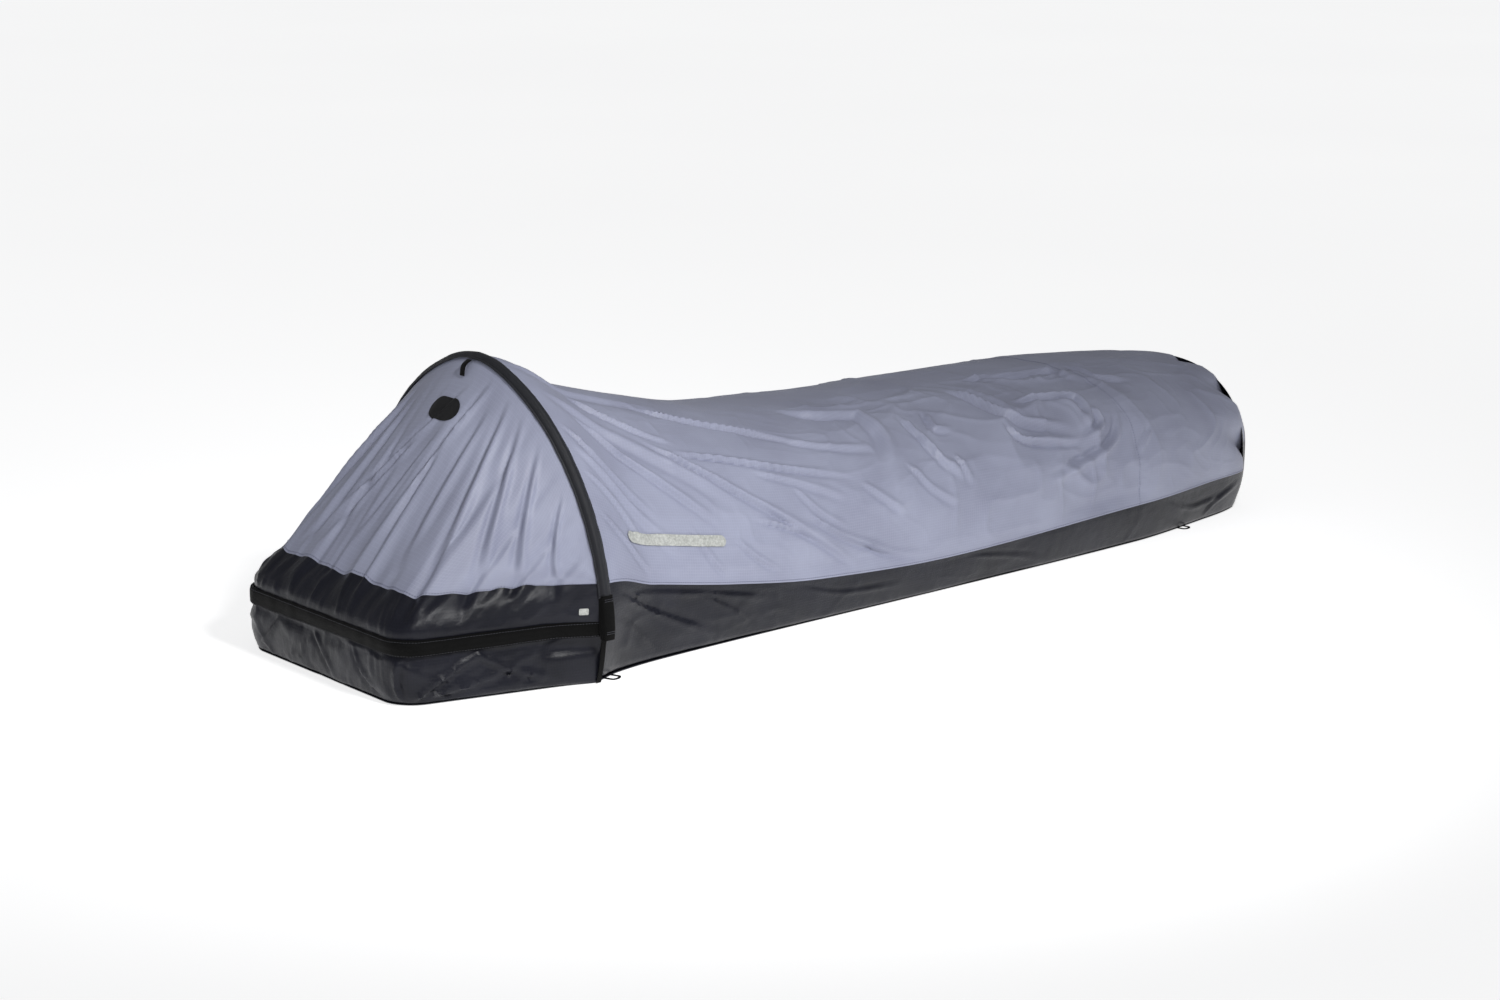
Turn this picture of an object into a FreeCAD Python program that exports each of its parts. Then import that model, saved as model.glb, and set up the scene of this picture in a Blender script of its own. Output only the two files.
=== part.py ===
import FreeCAD, Part
import math
import os
import Sketcher
from FreeCAD import Placement, Rotation, Vector

# One-person bivy sack: a bathtub floor, a waterproof upper shell, and a clamshell head
# held up by one shock-corded hoop.  Millimetres, +Z up.  The head is at -X, the feet at
# +X.  The origin is on the ground, under the middle of the sack.

doc = FreeCAD.newDocument("bivy_sack")

# ---------------------------------------------------------------------------------------
# Driving dimensions
# ---------------------------------------------------------------------------------------

DIMENSIONS = {
    # overall
    "sack_length": 2080.0,
    "head_length": 330.0,
    "cloth": 1.6,
    "seam_gap": 0.3,
    # hoop: pole centreline, in the plane across the sack
    "hoop_height": 488.0,
    "crown_radius": 200.0,
    "crown_half_angle": 20.0,
    "flank_radius": 420.0,
    "pole_radius": 4.0,
    "pole_bore_radius": 1.9,
    "shock_cord_radius": 1.5,
    "ferrule_radius": 4.9,
    "ferrule_bore_radius": 4.05,
    "ferrule_length": 50.0,
    "pole_tip_length": 12.0,
    "sleeve_radius": 8.0,
    "sleeve_bore_radius": 7.0,
    "sleeve_stop": 69.0,
    "pocket_radius": 9.0,
    "pocket_bore_radius": 5.2,
    "pocket_length": 63.0,
    "pocket_base": 3.2,
    "pocket_base_rise": 0.8,
    "pocket_base_radius": 8.4,
    # head plan and levels
    "head_corner_half_width": 238.0,
    "head_corner_radius": 60.0,
    "head_base_half_width": 324.0,
    "wall_inset": 9.0,
    "tub_head_height": 84.0,
    "door_start": 40.0,
    "zip_height": 94.0,
    "zip_gap": 2.0,
    "zip_tape_width": 6.0,
    "zip_tape_thick": 0.8,
    "zip_coil_width": 2.6,
    "zip_coil_thick": 2.4,
    "hem_top_height": 168.0,
    "hem_lean": 45.0,
    "flap_low": 80.0,
    "flap_high": 110.0,
    "flap_top": 118.0,
    "door_stop": 130.0,
    "mesh_inset": 24.0,
    "mesh_thick": 1.2,
    "mesh_zip_drop": 10.0,
    "mesh_sag": 36.0,
    "mesh_stop": 160.0,
    "mesh_top_gap": 16.0,
    # sliders and their pulls
    "slider_length": 12.0,
    "slider_height": 11.0,
    "slider_plate": 1.4,
    "slider_fit": 0.1,
    "slider_place": 52.0,
    "pull_length": 26.0,
    "pull_width": 5.0,
    "pull_thick": 1.6,
    "pull_inset": 2.8,
    "peg_radius": 1.2,
    "peg_hole_radius": 1.26,
    # loops
    "loop_length": 17.0,
    "loop_width": 26.0,
    "loop_slot_length": 9.0,
    "loop_slot_width": 18.0,
    "loop_thick": 1.6,
    "loop_gap": 0.8,
    "foot_loop_station": 1500.0,
    "tieback_height": 24.0,
    "tieback_width": 16.0,
    "tieback_hole_height": 18.0,
    "tieback_hole_width": 10.0,
    "tieback_thick": 1.8,
}

# Cross-sections of the sack behind the hoop: distance behind the hoop, half-width on the
# floor, half-width at the belly, height of the belly, height of the ridge, roundness of
# the arch (2 is an ellipse, more is squarer), and height of the seam on the tub.
STATION_FIELDS = ("dist", "floor", "belly", "mid", "ridge", "round", "seam")
STATIONS = [
    (1, 318, 334, 95, 488, 1.85, 168),
    (60, 296, 312, 98, 452, 1.95, 158),
    (150, 284, 300, 105, 424, 2.05, 138),
    (300, 278, 298, 112, 384, 2.2, 108),
    (500, 274, 297, 120, 342, 2.4, 82),
    (800, 270, 297, 120, 324, 2.55, 68),
    (1340, 256, 283, 118, 318, 2.5, 82),
    (1560, 224, 250, 115, 306, 2.4, 84),
    (1700, 192, 215, 112, 290, 2.3, 80),
    (1738, 162, 186, 110, 262, 2.2, 78),
]

sheet = doc.addObject("Spreadsheet::Sheet", "dims")


def put_cell(row, alias, value):
    sheet.set("A%d" % row, alias)
    sheet.set("B%d" % row, str(value))
    sheet.setAlias("B%d" % row, alias)


row_number = 1
for alias, value in DIMENSIONS.items():
    put_cell(row_number, alias, value)
    row_number += 1
for index, station in enumerate(STATIONS):
    for field, value in zip(STATION_FIELDS, station):
        put_cell(row_number, "%s_at_%d" % (field, index), value)
        row_number += 1
doc.recompute()


def dim(alias):
    return float(sheet.get(alias))


HOOP_X = -dim("sack_length") / 2 + dim("head_length")
CLOTH = dim("cloth")

# ---------------------------------------------------------------------------------------
# The sack's shape behind the hoop
# ---------------------------------------------------------------------------------------


def station_fields(index):
    return {field: dim("%s_at_%d" % (field, index)) for field in STATION_FIELDS}


def section_at(distance):
    """The cross-section's sizes at a distance behind the hoop, between two stations."""
    known = [station_fields(i) for i in range(len(STATIONS))]
    if distance <= known[0]["dist"]:
        return known[0]
    for low, high in zip(known, known[1:]):
        if distance <= high["dist"]:
            share = (distance - low["dist"]) / (high["dist"] - low["dist"])
            return {f: low[f] + share * (high[f] - low[f]) for f in STATION_FIELDS}
    return known[-1]


def half_width(section, z):
    """Half the sack's width at height z: it bellies out from the floor, then arches over."""
    if z <= section["mid"]:
        drop = (section["mid"] - z) / section["mid"]
        return section["belly"] - (section["belly"] - section["floor"]) * drop**2
    rise = min(1.0, (z - section["mid"]) / (section["ridge"] - section["mid"]))
    power = section["round"]
    return section["belly"] * (1 - rise**power) ** (1 / power)


ARCH_SHARES = (0.0, 0.25, 0.5, 0.75, 0.92, 1.0)


def shell_row(distance):
    """Points of the upper shell's arch, from the right-hand seam over the top to the left."""
    section = section_at(distance)
    x = HOOP_X + distance
    half = []
    for share in ARCH_SHARES:
        z = section["seam"] + share * (section["ridge"] - section["seam"])
        half.append((half_width(section, z), z))
    right = [Vector(x, -y, z) for y, z in half]
    left = [Vector(x, y, z) for y, z in reversed(half[:-1])]
    return right + left


def tub_row(distance, side):
    """Points of a side tub panel, from the floor up to the seam; side is -1 or 1."""
    section = section_at(distance)
    x = HOOP_X + distance
    shares = (0.0, 0.5, 1.0)
    bottom = CLOTH + 0.2
    levels = [bottom + s * (section["seam"] - 0.3 - bottom) for s in shares]
    return [Vector(x, side * half_width(section, z), z) for z in levels]


# ---------------------------------------------------------------------------------------
# Sheets of cloth: a grid of points thickened into one closed solid
# ---------------------------------------------------------------------------------------

INSIDE = Vector(0, 0, 120)  # a point inside the sack, on its middle line


def grid_normals(grid):
    """Unit normals of a grid's surface, all pointing out of the sack."""
    rows, columns = len(grid), len(grid[0])
    normals = []
    outward = 0
    for i in range(rows):
        line = []
        for j in range(columns):
            along = grid[min(i + 1, rows - 1)][j] - grid[max(i - 1, 0)][j]
            across = grid[i][min(j + 1, columns - 1)] - grid[i][max(j - 1, 0)]
            normal = along.cross(across).normalize()
            outward += normal.dot(grid[i][j] - INSIDE)
            line.append(normal)
        normals.append(line)
    sign = 1 if outward > 0 else -1
    return [[normal * sign for normal in line] for line in normals]


def triangle(a, b, c):
    return Part.Face(Part.makePolygon([a, b, c, a]))


def quad(a, b, c, d):
    return [triangle(a, b, c), triangle(a, c, d)]


def cloth_solid(grid, thickness, centre=None):
    """One closed solid: the grid's surface and a copy of it moved inwards by a thickness,
    or towards a centre where one is given."""
    normals = grid_normals(grid)
    if centre:
        normals = [[(p - centre).normalize() for p in line] for line in grid]
    inner = [[p - n * thickness for p, n in zip(*pair)] for pair in zip(grid, normals)]
    rows, columns = len(grid), len(grid[0])
    faces = []
    for i in range(rows - 1):
        for j in range(columns - 1):
            faces += quad(grid[i][j], grid[i + 1][j], grid[i + 1][j + 1], grid[i][j + 1])
            faces += quad(inner[i][j], inner[i][j + 1], inner[i + 1][j + 1], inner[i + 1][j])
        for j in (0, columns - 1):
            faces += quad(grid[i][j], inner[i][j], inner[i + 1][j], grid[i + 1][j])
    for j in range(columns - 1):
        for i in (0, rows - 1):
            faces += quad(grid[i][j], grid[i][j + 1], inner[i][j + 1], inner[i][j])
    shell = Part.makeShell(faces)
    shell.sewShape()
    solid = Part.makeSolid(shell)
    if solid.Volume < 0:
        solid.reverse()
    return solid


parts = {}


def add_cloth(label, grid, thickness, centre=None):
    feature = doc.addObject("Part::Feature", label)
    feature.Label = label
    feature.Shape = cloth_solid(grid, thickness, centre)
    feature.Placement = Placement()
    parts[label] = feature


SIDES = (("right", -1), ("left", 1))

# ---------------------------------------------------------------------------------------
# Sketches, pads and pipes
# ---------------------------------------------------------------------------------------


def new_body(label):
    body = doc.addObject("PartDesign::Body", label)
    body.Label = label
    parts[label] = body
    return body


def new_sketch(body, name, role="XY_Plane"):
    """A sketch on one of the body's own origin planes."""
    sketch = body.newObject("Sketcher::SketchObject", name)
    planes = [f for f in body.Origin.OriginFeatures if f.Role == role]
    sketch.AttachmentSupport = [(planes[0], "")]
    sketch.MapMode = "FlatFace"
    return sketch


def join_ends(sketch, one, other):
    """Pins together the ends at which two of a sketch's curves meet."""
    for a in (1, 2):
        for b in (1, 2):
            if sketch.getPoint(one, a).distanceToPoint(sketch.getPoint(other, b)) < 1e-4:
                sketch.addConstraint(Sketcher.Constraint("Coincident", one, a, other, b))
                return


def draw_edges(sketch, curves):
    """Lines and arcs that follow each other, joined end to end."""
    first = sketch.GeometryCount
    sketch.addGeometry(curves, False)
    for index in range(first, sketch.GeometryCount - 1):
        join_ends(sketch, index, index + 1)
    return first


def draw_outline(sketch, points):
    """A closed outline of straight lines."""
    pairs = zip(points, points[1:] + points[:1])
    first = draw_edges(sketch, [Part.LineSegment(Vector(*a, 0), Vector(*b, 0)) for a, b in pairs])
    join_ends(sketch, sketch.GeometryCount - 1, first)


def draw_rectangle(sketch, width, height, name):
    """A rectangle centred on the sketch's origin; width and height are aliases."""
    w, t = dim(width) / 2, dim(height) / 2
    first = sketch.GeometryCount
    draw_outline(sketch, [(-w, -t), (w, -t), (w, t), (-w, t)])
    for offset, kind in enumerate(("Horizontal", "Vertical", "Horizontal", "Vertical")):
        sketch.addConstraint(Sketcher.Constraint(kind, first + offset))
    sketch.addConstraint(Sketcher.Constraint("Symmetric", first, 1, first + 1, 2, -1, 1))
    for offset, alias in enumerate((width, height)):
        index = sketch.addConstraint(
            Sketcher.Constraint("Distance", first + offset, dim(alias))
        )
        label = "%s_%s" % (name, "width" if offset == 0 else "height")
        sketch.renameConstraint(index, label)
        sketch.setExpression("Constraints." + label, "dims." + alias)


def draw_circle(sketch, centre, radius):
    """A circle whose radius is an alias."""
    index = sketch.addGeometry(
        Part.Circle(Vector(centre[0], centre[1], 0), Vector(0, 0, 1), dim(radius)), False
    )
    rule = sketch.addConstraint(Sketcher.Constraint("Radius", index, dim(radius)))
    sketch.renameConstraint(rule, "radius_%d" % index)
    sketch.setExpression("Constraints.radius_%d" % index, "dims." + radius)


def add_pad(body, sketch, length, name="pad"):
    pad = body.newObject("PartDesign::Pad", name)
    pad.Profile = sketch
    pad.setExpression("Length", length)
    sketch.Visibility = False
    return pad


def add_ring(label, outer, inner, thick, placement):
    """A flat webbing ring: outer and inner are (width, height) pairs of aliases."""
    body = new_body(label)
    sketch = new_sketch(body, label + "_sketch")
    draw_rectangle(sketch, outer[0], outer[1], "outer")
    draw_rectangle(sketch, inner[0], inner[1], "inner")
    add_pad(body, sketch, "dims." + thick, label + "_pad")
    body.Placement = placement


# ---------------------------------------------------------------------------------------
# Head plan: straight sides from the hoop, round corners, a straight front
# ---------------------------------------------------------------------------------------

CORNER_LEAN = 0.6  # how much of a lean at the front also narrows the corners


def head_side(inset, lean=0.0):
    """The left side's corner and base, and the unit direction from base to corner."""
    front = HOOP_X - dim("head_length") + inset + lean
    corner = Vector(front, dim("head_corner_half_width") - inset - CORNER_LEAN * lean, 0)
    base = Vector(HOOP_X, dim("head_base_half_width") - inset, 0)
    return corner, base, (corner - base).normalize()


def head_plan(inset, lean, start):
    """The head's outline in plan, from the right-hand side round to the left, as curves.
    It is moved in by an inset, and at the front by a lean too, and begins a distance
    ahead of the hoop."""
    corner, base, along = head_side(inset, lean)
    begin = base + along * (start / abs(along.x))
    half_turn = math.acos(along.dot(Vector(0, -1, 0))) / 2
    radius = dim("head_corner_radius")
    reach = radius * math.tan(half_turn)
    in_side = corner - along * reach
    in_front = corner - Vector(0, reach, 0)
    bisector = ((in_side - corner) + (in_front - corner)).normalize()
    middle = corner + bisector * (radius / math.cos(half_turn) - radius)
    left = [begin, in_side, middle, in_front]
    right = [Vector(p.x, -p.y, 0) for p in left]
    return [
        Part.LineSegment(right[0], right[1]),
        Part.Arc(right[1], right[2], right[3]),
        Part.LineSegment(right[3], left[3]),
        Part.Arc(left[3], left[2], left[1]),
        Part.LineSegment(left[1], left[0]),
    ]


PLAN_SHARES = [(edge, share) for edge in range(5) for share in (0.0, 0.5)] + [(4, 1.0)]


def plan_points(inset, z, lean=0.0, start=None):
    """Points along the head plan at height z, which line up from one inset to another."""
    curves = head_plan(inset, lean, dim("door_start") if start is None else start)
    points = []
    for edge_index, share in PLAN_SHARES:
        curve = curves[edge_index]
        flat = curve.value(curve.FirstParameter + share * (curve.LastParameter - curve.FirstParameter))
        points.append(Vector(flat.x, flat.y, z))
    return points


def add_strip(label, inset, low, high, thickness, start=None):
    """An upright band that follows the head plan between two heights."""
    add_cloth(label, [plan_points(inset, z, start=start) for z in (low, high)], thickness)


# ---------------------------------------------------------------------------------------
# Hoop path
# ---------------------------------------------------------------------------------------

CROWN_TURN = math.radians(dim("crown_half_angle"))
CROWN_RUN = dim("crown_radius") * CROWN_TURN
HALF_RUN = CROWN_RUN + dim("flank_radius") * (math.pi / 2 - CROWN_TURN)


def hoop_point(run, inset=0.0, ahead=0.0):
    """A point of the pole's centreline; run is the length from the apex, negative on the
    right.  Inset moves it towards the inside of the hoop, and ahead towards the head."""
    crown_z = dim("hoop_height") - dim("crown_radius")
    reach = abs(run)
    if reach <= CROWN_RUN:
        angle = reach / dim("crown_radius")
        radius = dim("crown_radius") - inset
        y, z = radius * math.sin(angle), crown_z + radius * math.cos(angle)
    else:
        angle = CROWN_TURN + (reach - CROWN_RUN) / dim("flank_radius")
        shift = dim("crown_radius") - dim("flank_radius")
        radius = dim("flank_radius") - inset
        y = shift * math.sin(CROWN_TURN) + radius * math.sin(angle)
        z = crown_z + shift * math.cos(CROWN_TURN) + radius * math.cos(angle)
    return Vector(HOOP_X - ahead, math.copysign(y, run), z)


def hoop_curves(begin, end):
    """Arcs of the centreline between two runs."""
    breaks = [-CROWN_RUN, CROWN_RUN]
    stops = [begin] + [b for b in breaks if begin + 1e-6 < b < end - 1e-6] + [end]
    return [
        Part.Arc(*[Vector(p.y, p.z, 0) for p in map(hoop_point, (a, (a + b) / 2, b))])
        for a, b in zip(stops, stops[1:])
    ]


def add_hoop_pipe(label, begin, end, outer, inner=None):
    """A round bar or tube along the hoop; outer and inner are aliases of radii."""
    body = new_body(label)
    body.Placement = Placement(Vector(HOOP_X, 0, 0), Rotation())
    spine = new_sketch(body, label + "_spine", "YZ_Plane")
    draw_edges(spine, hoop_curves(begin, end))
    start = hoop_point(begin) - Vector(HOOP_X, 0, 0)
    heading = hoop_point(begin + 0.01) - hoop_point(begin)
    profile = body.newObject("Sketcher::SketchObject", label + "_profile")
    profile.Placement = Placement(start, Rotation(Vector(0, 0, 1), heading))
    draw_circle(profile, (0, 0), outer)
    if inner:
        draw_circle(profile, (0, 0), inner)
    pipe = body.newObject("PartDesign::AdditivePipe", label + "_pipe")
    pipe.Profile = profile
    pipe.Spine = spine
    return body


# ---------------------------------------------------------------------------------------
# Tub and upper shell
# ---------------------------------------------------------------------------------------

WALL_INSET = dim("wall_inset")
GAP = dim("seam_gap")


def add_floor():
    """The floor: the head plan, then the stations down to the foot."""
    label = "floor_panel"
    body = new_body(label)
    sketch = new_sketch(body, label + "_sketch")
    head = head_plan(WALL_INSET, 0.0, 0.0)
    left = [(HOOP_X + station_fields(i)["dist"], station_fields(i)["floor"]) for i in range(len(STATIONS))]
    left = [Vector(x, y - GAP, 0) for x, y in left]
    right = [Vector(p.x, -p.y, 0) for p in reversed(left)]
    outline = [head[-1].EndPoint] + left + right + [head[0].StartPoint]
    sides = [Part.LineSegment(a, b) for a, b in zip(outline, outline[1:])]
    draw_edges(sketch, head + sides)
    join_ends(sketch, sketch.GeometryCount - 1, 0)
    add_pad(body, sketch, "dims.cloth", label + "_pad")


def distances(begin, end, spacing=180.0):
    """Stations between two distances, with more rows where they are far apart."""
    known = [station_fields(i)["dist"] for i in range(len(STATIONS))]
    marks = [begin] + [d for d in known if begin + 1 < d < end - 1] + [end]
    rows = []
    for low, high in zip(marks, marks[1:]):
        steps = max(1, round((high - low) / spacing))
        rows += [low + (high - low) * step / steps for step in range(steps)]
    return rows + [end]


FOOT_SEAM = 1320.0
SHOULDER_SEAM = 500.0
SHELL_END = station_fields(len(STATIONS) - 1)["dist"]
CANOPY_START = dim("sleeve_radius") + 4.0

add_floor()
for name, side in SIDES:
    rows = [tub_row(d, side) for d in distances(1.0, SHELL_END)]
    add_cloth("tub_side_" + name, rows, CLOTH)
add_strip("tub_head", WALL_INSET, CLOTH + 0.2, dim("tub_head_height"), CLOTH, start=1.0)

SHELL_PIECES = (
    ("shoulder_canopy", CANOPY_START, SHOULDER_SEAM - GAP),
    ("torso_shell", SHOULDER_SEAM, FOOT_SEAM - GAP),
    ("foot_shell", FOOT_SEAM, SHELL_END),
)
for label, begin, end in SHELL_PIECES:
    add_cloth(label, [shell_row(d) for d in distances(begin, end)], CLOTH)


def add_foot_end():
    """The end panel inside the end of the tub and shell, crowned outwards."""
    section = section_at(SHELL_END)
    crown = 10.0
    edge = dim("sack_length") / 2 - crown
    rows = []
    for share in (0.0, 0.25, 0.5, 0.75, 0.94):
        z = CLOTH + 1.0 + share * (section["ridge"] - CLOTH - 6.0)
        reach = half_width(section, z) - CLOTH - 2.0
        bulge = crown * (1 - (2 * share - 1) ** 2)
        rows.append([Vector(edge + bulge * (1 - s * s), s * reach, z) for s in (-1, -0.5, 0, 0.5, 1)])
    add_cloth("foot_end_panel", rows, CLOTH)


add_foot_end()

# ---------------------------------------------------------------------------------------
# Head: zipper, storm flap, hem, door and mesh
# ---------------------------------------------------------------------------------------

COIL_OUT = dim("zip_coil_thick") / 2
TAPE_OUT = dim("zip_tape_thick") / 2
ZIP_INSET = WALL_INSET + COIL_OUT  # the middle of the zipper's thickness


def add_zip_half(label, inset, edge, direction):
    """A zipper's coil and tape on one side of its middle line."""
    coil_edge = edge + direction * dim("zip_coil_width")
    tape_edge = coil_edge + direction * (GAP + dim("zip_tape_width"))
    coil = sorted((edge, coil_edge))
    tape = sorted((coil_edge + direction * GAP, tape_edge))
    add_strip("%s_coil" % label, inset - COIL_OUT, coil[0], coil[1], 2 * COIL_OUT)
    add_strip("%s_tape" % label, inset - TAPE_OUT, tape[0], tape[1], 2 * TAPE_OUT)
    return tape_edge


half_gap = dim("zip_gap") / 2
zip_height = dim("zip_height")
add_zip_half("lower_zip", ZIP_INSET, zip_height - half_gap, -1)
hem_low = add_zip_half("upper_zip", ZIP_INSET, zip_height + half_gap, 1) + 4 * GAP
hem_high = dim("hem_top_height")


def hem_lean(z):
    return dim("hem_lean") * (z - hem_low) / (hem_high - hem_low)


add_cloth(
    "door_hem",
    [plan_points(WALL_INSET, z, hem_lean(z)) for z in (hem_low, (hem_low + hem_high) / 2, hem_high)],
    CLOTH,
)
flap_top = dim("flap_top")
flap_rows = [
    plan_points(0.0, dim("flap_low")),
    plan_points(0.0, dim("flap_high")),
    plan_points(WALL_INSET - CLOTH - 1.0, flap_top, hem_lean(flap_top)),
]
add_cloth("storm_flap", flap_rows, 0.8 * CLOTH)


HEAD_CENTRE = Vector(HOOP_X + 20.0, 0, 110)  # a point that every part of both fans faces


def fan_rows(base_row, top_inset, ahead, last_run, rows, sag):
    """Rows of cloth from the head's plan up to the hoop, sagging inwards between them."""
    count = len(base_row)
    top_row = [
        hoop_point(last_run * (2 * j / (count - 1) - 1), top_inset, ahead) for j in range(count)
    ]
    grid = []
    for i in range(rows + 1):
        share = i / rows
        straight = [base + (top - base) * share for base, top in zip(base_row, top_row)]
        pull = 4 * sag * share * (1 - share)
        grid.append([p + (HEAD_CENTRE - p).normalize() * pull for p in straight])
    return grid


sleeve_ahead = dim("sleeve_radius") + 2.0
seam_run = HALF_RUN - dim("door_stop")
door_base = plan_points(WALL_INSET, hem_high + GAP, dim("hem_lean"))
add_cloth("door_panel", fan_rows(door_base, 0.0, sleeve_ahead, seam_run, 4, 0.0), CLOTH, HEAD_CENTRE)

mesh_inset = dim("mesh_inset")
mesh_zip = zip_height - dim("mesh_zip_drop")
add_zip_half("mesh_lower_zip", mesh_inset, mesh_zip - half_gap, -1)
mesh_low = add_zip_half("mesh_upper_zip", mesh_inset, mesh_zip + half_gap, 1) + 4 * GAP
mesh_base = plan_points(mesh_inset, mesh_low)
mesh_top_inset = dim("sleeve_radius") + dim("mesh_top_gap")
mesh_run = HALF_RUN - dim("mesh_stop")
mesh_grid = fan_rows(mesh_base, mesh_top_inset, 2.0, mesh_run, 4, dim("mesh_sag"))
add_cloth("bug_mesh", mesh_grid, dim("mesh_thick"), HEAD_CENTRE)

# ---------------------------------------------------------------------------------------
# Sliders and pulls, on the straight stretches of the zippers
# ---------------------------------------------------------------------------------------


def zip_frame(side, inset, place, height):
    """A placement on a side stretch: X runs towards the head, Y to the left, Z up."""
    corner, base, along = head_side(inset)
    point = base + along * (place / abs(along.x))
    heading = Vector(along.x, side * along.y, 0)
    across = Vector(-heading.y, heading.x, 0)
    turn = Rotation(heading, across, Vector(0, 0, 1), "XYZ")
    return Placement(Vector(point.x, side * point.y, height), turn)


def add_slider(label, side, inset, height, with_peg):
    """Two plates joined by a web that runs in the gap between the coils."""
    body = new_body(label)
    sketch = new_sketch(body, label + "_sketch", "YZ_Plane")
    fit = dim("slider_fit")
    slot = COIL_OUT + fit
    out = slot + dim("slider_plate")
    tall, web = dim("slider_height") / 2, half_gap - fit
    quarter = [(out, tall), (slot, tall), (slot, web)]
    mirror = [(-y, z) for y, z in reversed(quarter)]
    top = quarter + mirror
    draw_outline(sketch, top + [(-y, -z) for y, z in top])
    pad = add_pad(body, sketch, "dims.slider_length", label + "_pad")
    pad.Midplane = True
    if with_peg:
        facing = -1 if side < 0 else 1
        peg_sketch = new_sketch(body, label + "_peg_sketch", "XZ_Plane")
        draw_circle(peg_sketch, (0, 0), "peg_radius")
        reach = ZIP_INSET - dim("pull_inset") + 0.6
        peg_sketch.AttachmentOffset = Placement(Vector(0, 0, facing * slot), Rotation())
        peg = body.newObject("PartDesign::Pad", label + "_peg")
        peg.Profile = peg_sketch
        peg.Length = reach - slot
        peg.Reversed = facing < 0
    body.Placement = zip_frame(side, inset, dim("slider_place"), height)


def add_pull(label, side):
    """A flat pull on the slider's peg, which lies along the zipper towards the hoop."""
    body = new_body(label)
    sketch = new_sketch(body, label + "_sketch", "XZ_Plane")
    half = dim("pull_width") / 2
    long = dim("pull_length") - half
    draw_edges(
        sketch,
        [
            Part.LineSegment(Vector(0, half, 0), Vector(-long + half, half, 0)),
            Part.Arc(Vector(-long + half, half, 0), Vector(-long, 0, 0), Vector(-long + half, -half, 0)),
            Part.LineSegment(Vector(-long + half, -half, 0), Vector(0, -half, 0)),
            Part.Arc(Vector(0, -half, 0), Vector(half, 0, 0), Vector(0, half, 0)),
        ],
    )
    join_ends(sketch, 3, 0)
    draw_circle(sketch, (0, 0), "peg_hole_radius")
    pad = add_pad(body, sketch, "dims.pull_thick", label + "_pad")
    pad.Midplane = True
    out = ZIP_INSET - dim("pull_inset") - dim("pull_thick") / 2
    frame = zip_frame(side, ZIP_INSET, dim("slider_place"), zip_height)
    facing = -1 if side < 0 else 1
    body.Placement = frame.multiply(Placement(Vector(0, -facing * out, 0), Rotation()))


for name, side in SIDES:
    add_slider("slider_" + name, side, ZIP_INSET, zip_height, True)
    add_pull("pull_" + name, side)
add_slider("mesh_slider", -1, mesh_inset, mesh_zip, False)

# ---------------------------------------------------------------------------------------
# Hoop: four pole sections, their ferrules, tips, shock cord, sleeve and foot pockets
# ---------------------------------------------------------------------------------------

POLE_SECTIONS = 4
tip = dim("pole_tip_length")
tip_end = HALF_RUN - dim("pocket_base_rise") - GAP
pole_end = tip_end - tip - GAP
section_run = 2 * pole_end / POLE_SECTIONS
for index in range(POLE_SECTIONS):
    begin = -pole_end + index * section_run
    end = begin + section_run - (GAP if index < POLE_SECTIONS - 1 else 0.0)
    add_hoop_pipe("pole_section_%d" % (index + 1), begin, end, "pole_radius", "pole_bore_radius")
for index in range(1, POLE_SECTIONS):
    middle = -pole_end + index * section_run
    half = dim("ferrule_length") / 2
    label = "ferrule_%d" % index
    add_hoop_pipe(label, middle - half, middle + half, "ferrule_radius", "ferrule_bore_radius")
add_hoop_pipe("shock_cord", -pole_end, pole_end, "shock_cord_radius")
sleeve_end = HALF_RUN - dim("sleeve_stop")
add_hoop_pipe("pole_sleeve", -sleeve_end, sleeve_end, "sleeve_radius", "sleeve_bore_radius")
for name, side in SIDES:
    runs = sorted((side * (tip_end - tip), side * tip_end))
    add_hoop_pipe("pole_tip_" + name, runs[0], runs[1], "pole_radius")
    runs = sorted((side * (HALF_RUN - dim("pocket_length")), side * HALF_RUN))
    label = "pole_pocket_" + name
    body = add_hoop_pipe(label, runs[0], runs[1], "pocket_radius", "pocket_bore_radius")
    base = new_sketch(body, label + "_base_sketch")
    foot = hoop_point(side * HALF_RUN)
    base.AttachmentOffset = Placement(Vector(0, 0, foot.z + dim("pocket_base_rise")), Rotation())
    draw_circle(base, (0, foot.y), "pocket_base_radius")
    cap = add_pad(body, base, "dims.pocket_base", label + "_base")
    cap.Reversed = True

# ---------------------------------------------------------------------------------------
# Webbing: hoop gussets, stake loops and the door's tie-back loop
# ---------------------------------------------------------------------------------------


def add_stake_loop(label, distance, side):
    """A webbing ring flat on the ground, square to the floor's edge and just clear of it."""
    half = dim("loop_width") / 2
    ahead, behind = (section_at(distance + step)["floor"] for step in (-half, half))
    taper = math.atan2(ahead - behind, 2 * half)
    reach = dim("loop_length") / 2 + dim("loop_gap")
    out = Vector(math.sin(taper), side * math.cos(taper), 0)
    place = Vector(HOOP_X + distance, side * (ahead + behind) / 2, 0) + out * reach
    turn = Rotation(Vector(0, 0, 1), 90 - side * math.degrees(taper))
    outer, inner = ("loop_length", "loop_width"), ("loop_slot_length", "loop_slot_width")
    add_ring(label, outer, inner, "loop_thick", Placement(place, turn))


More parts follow.
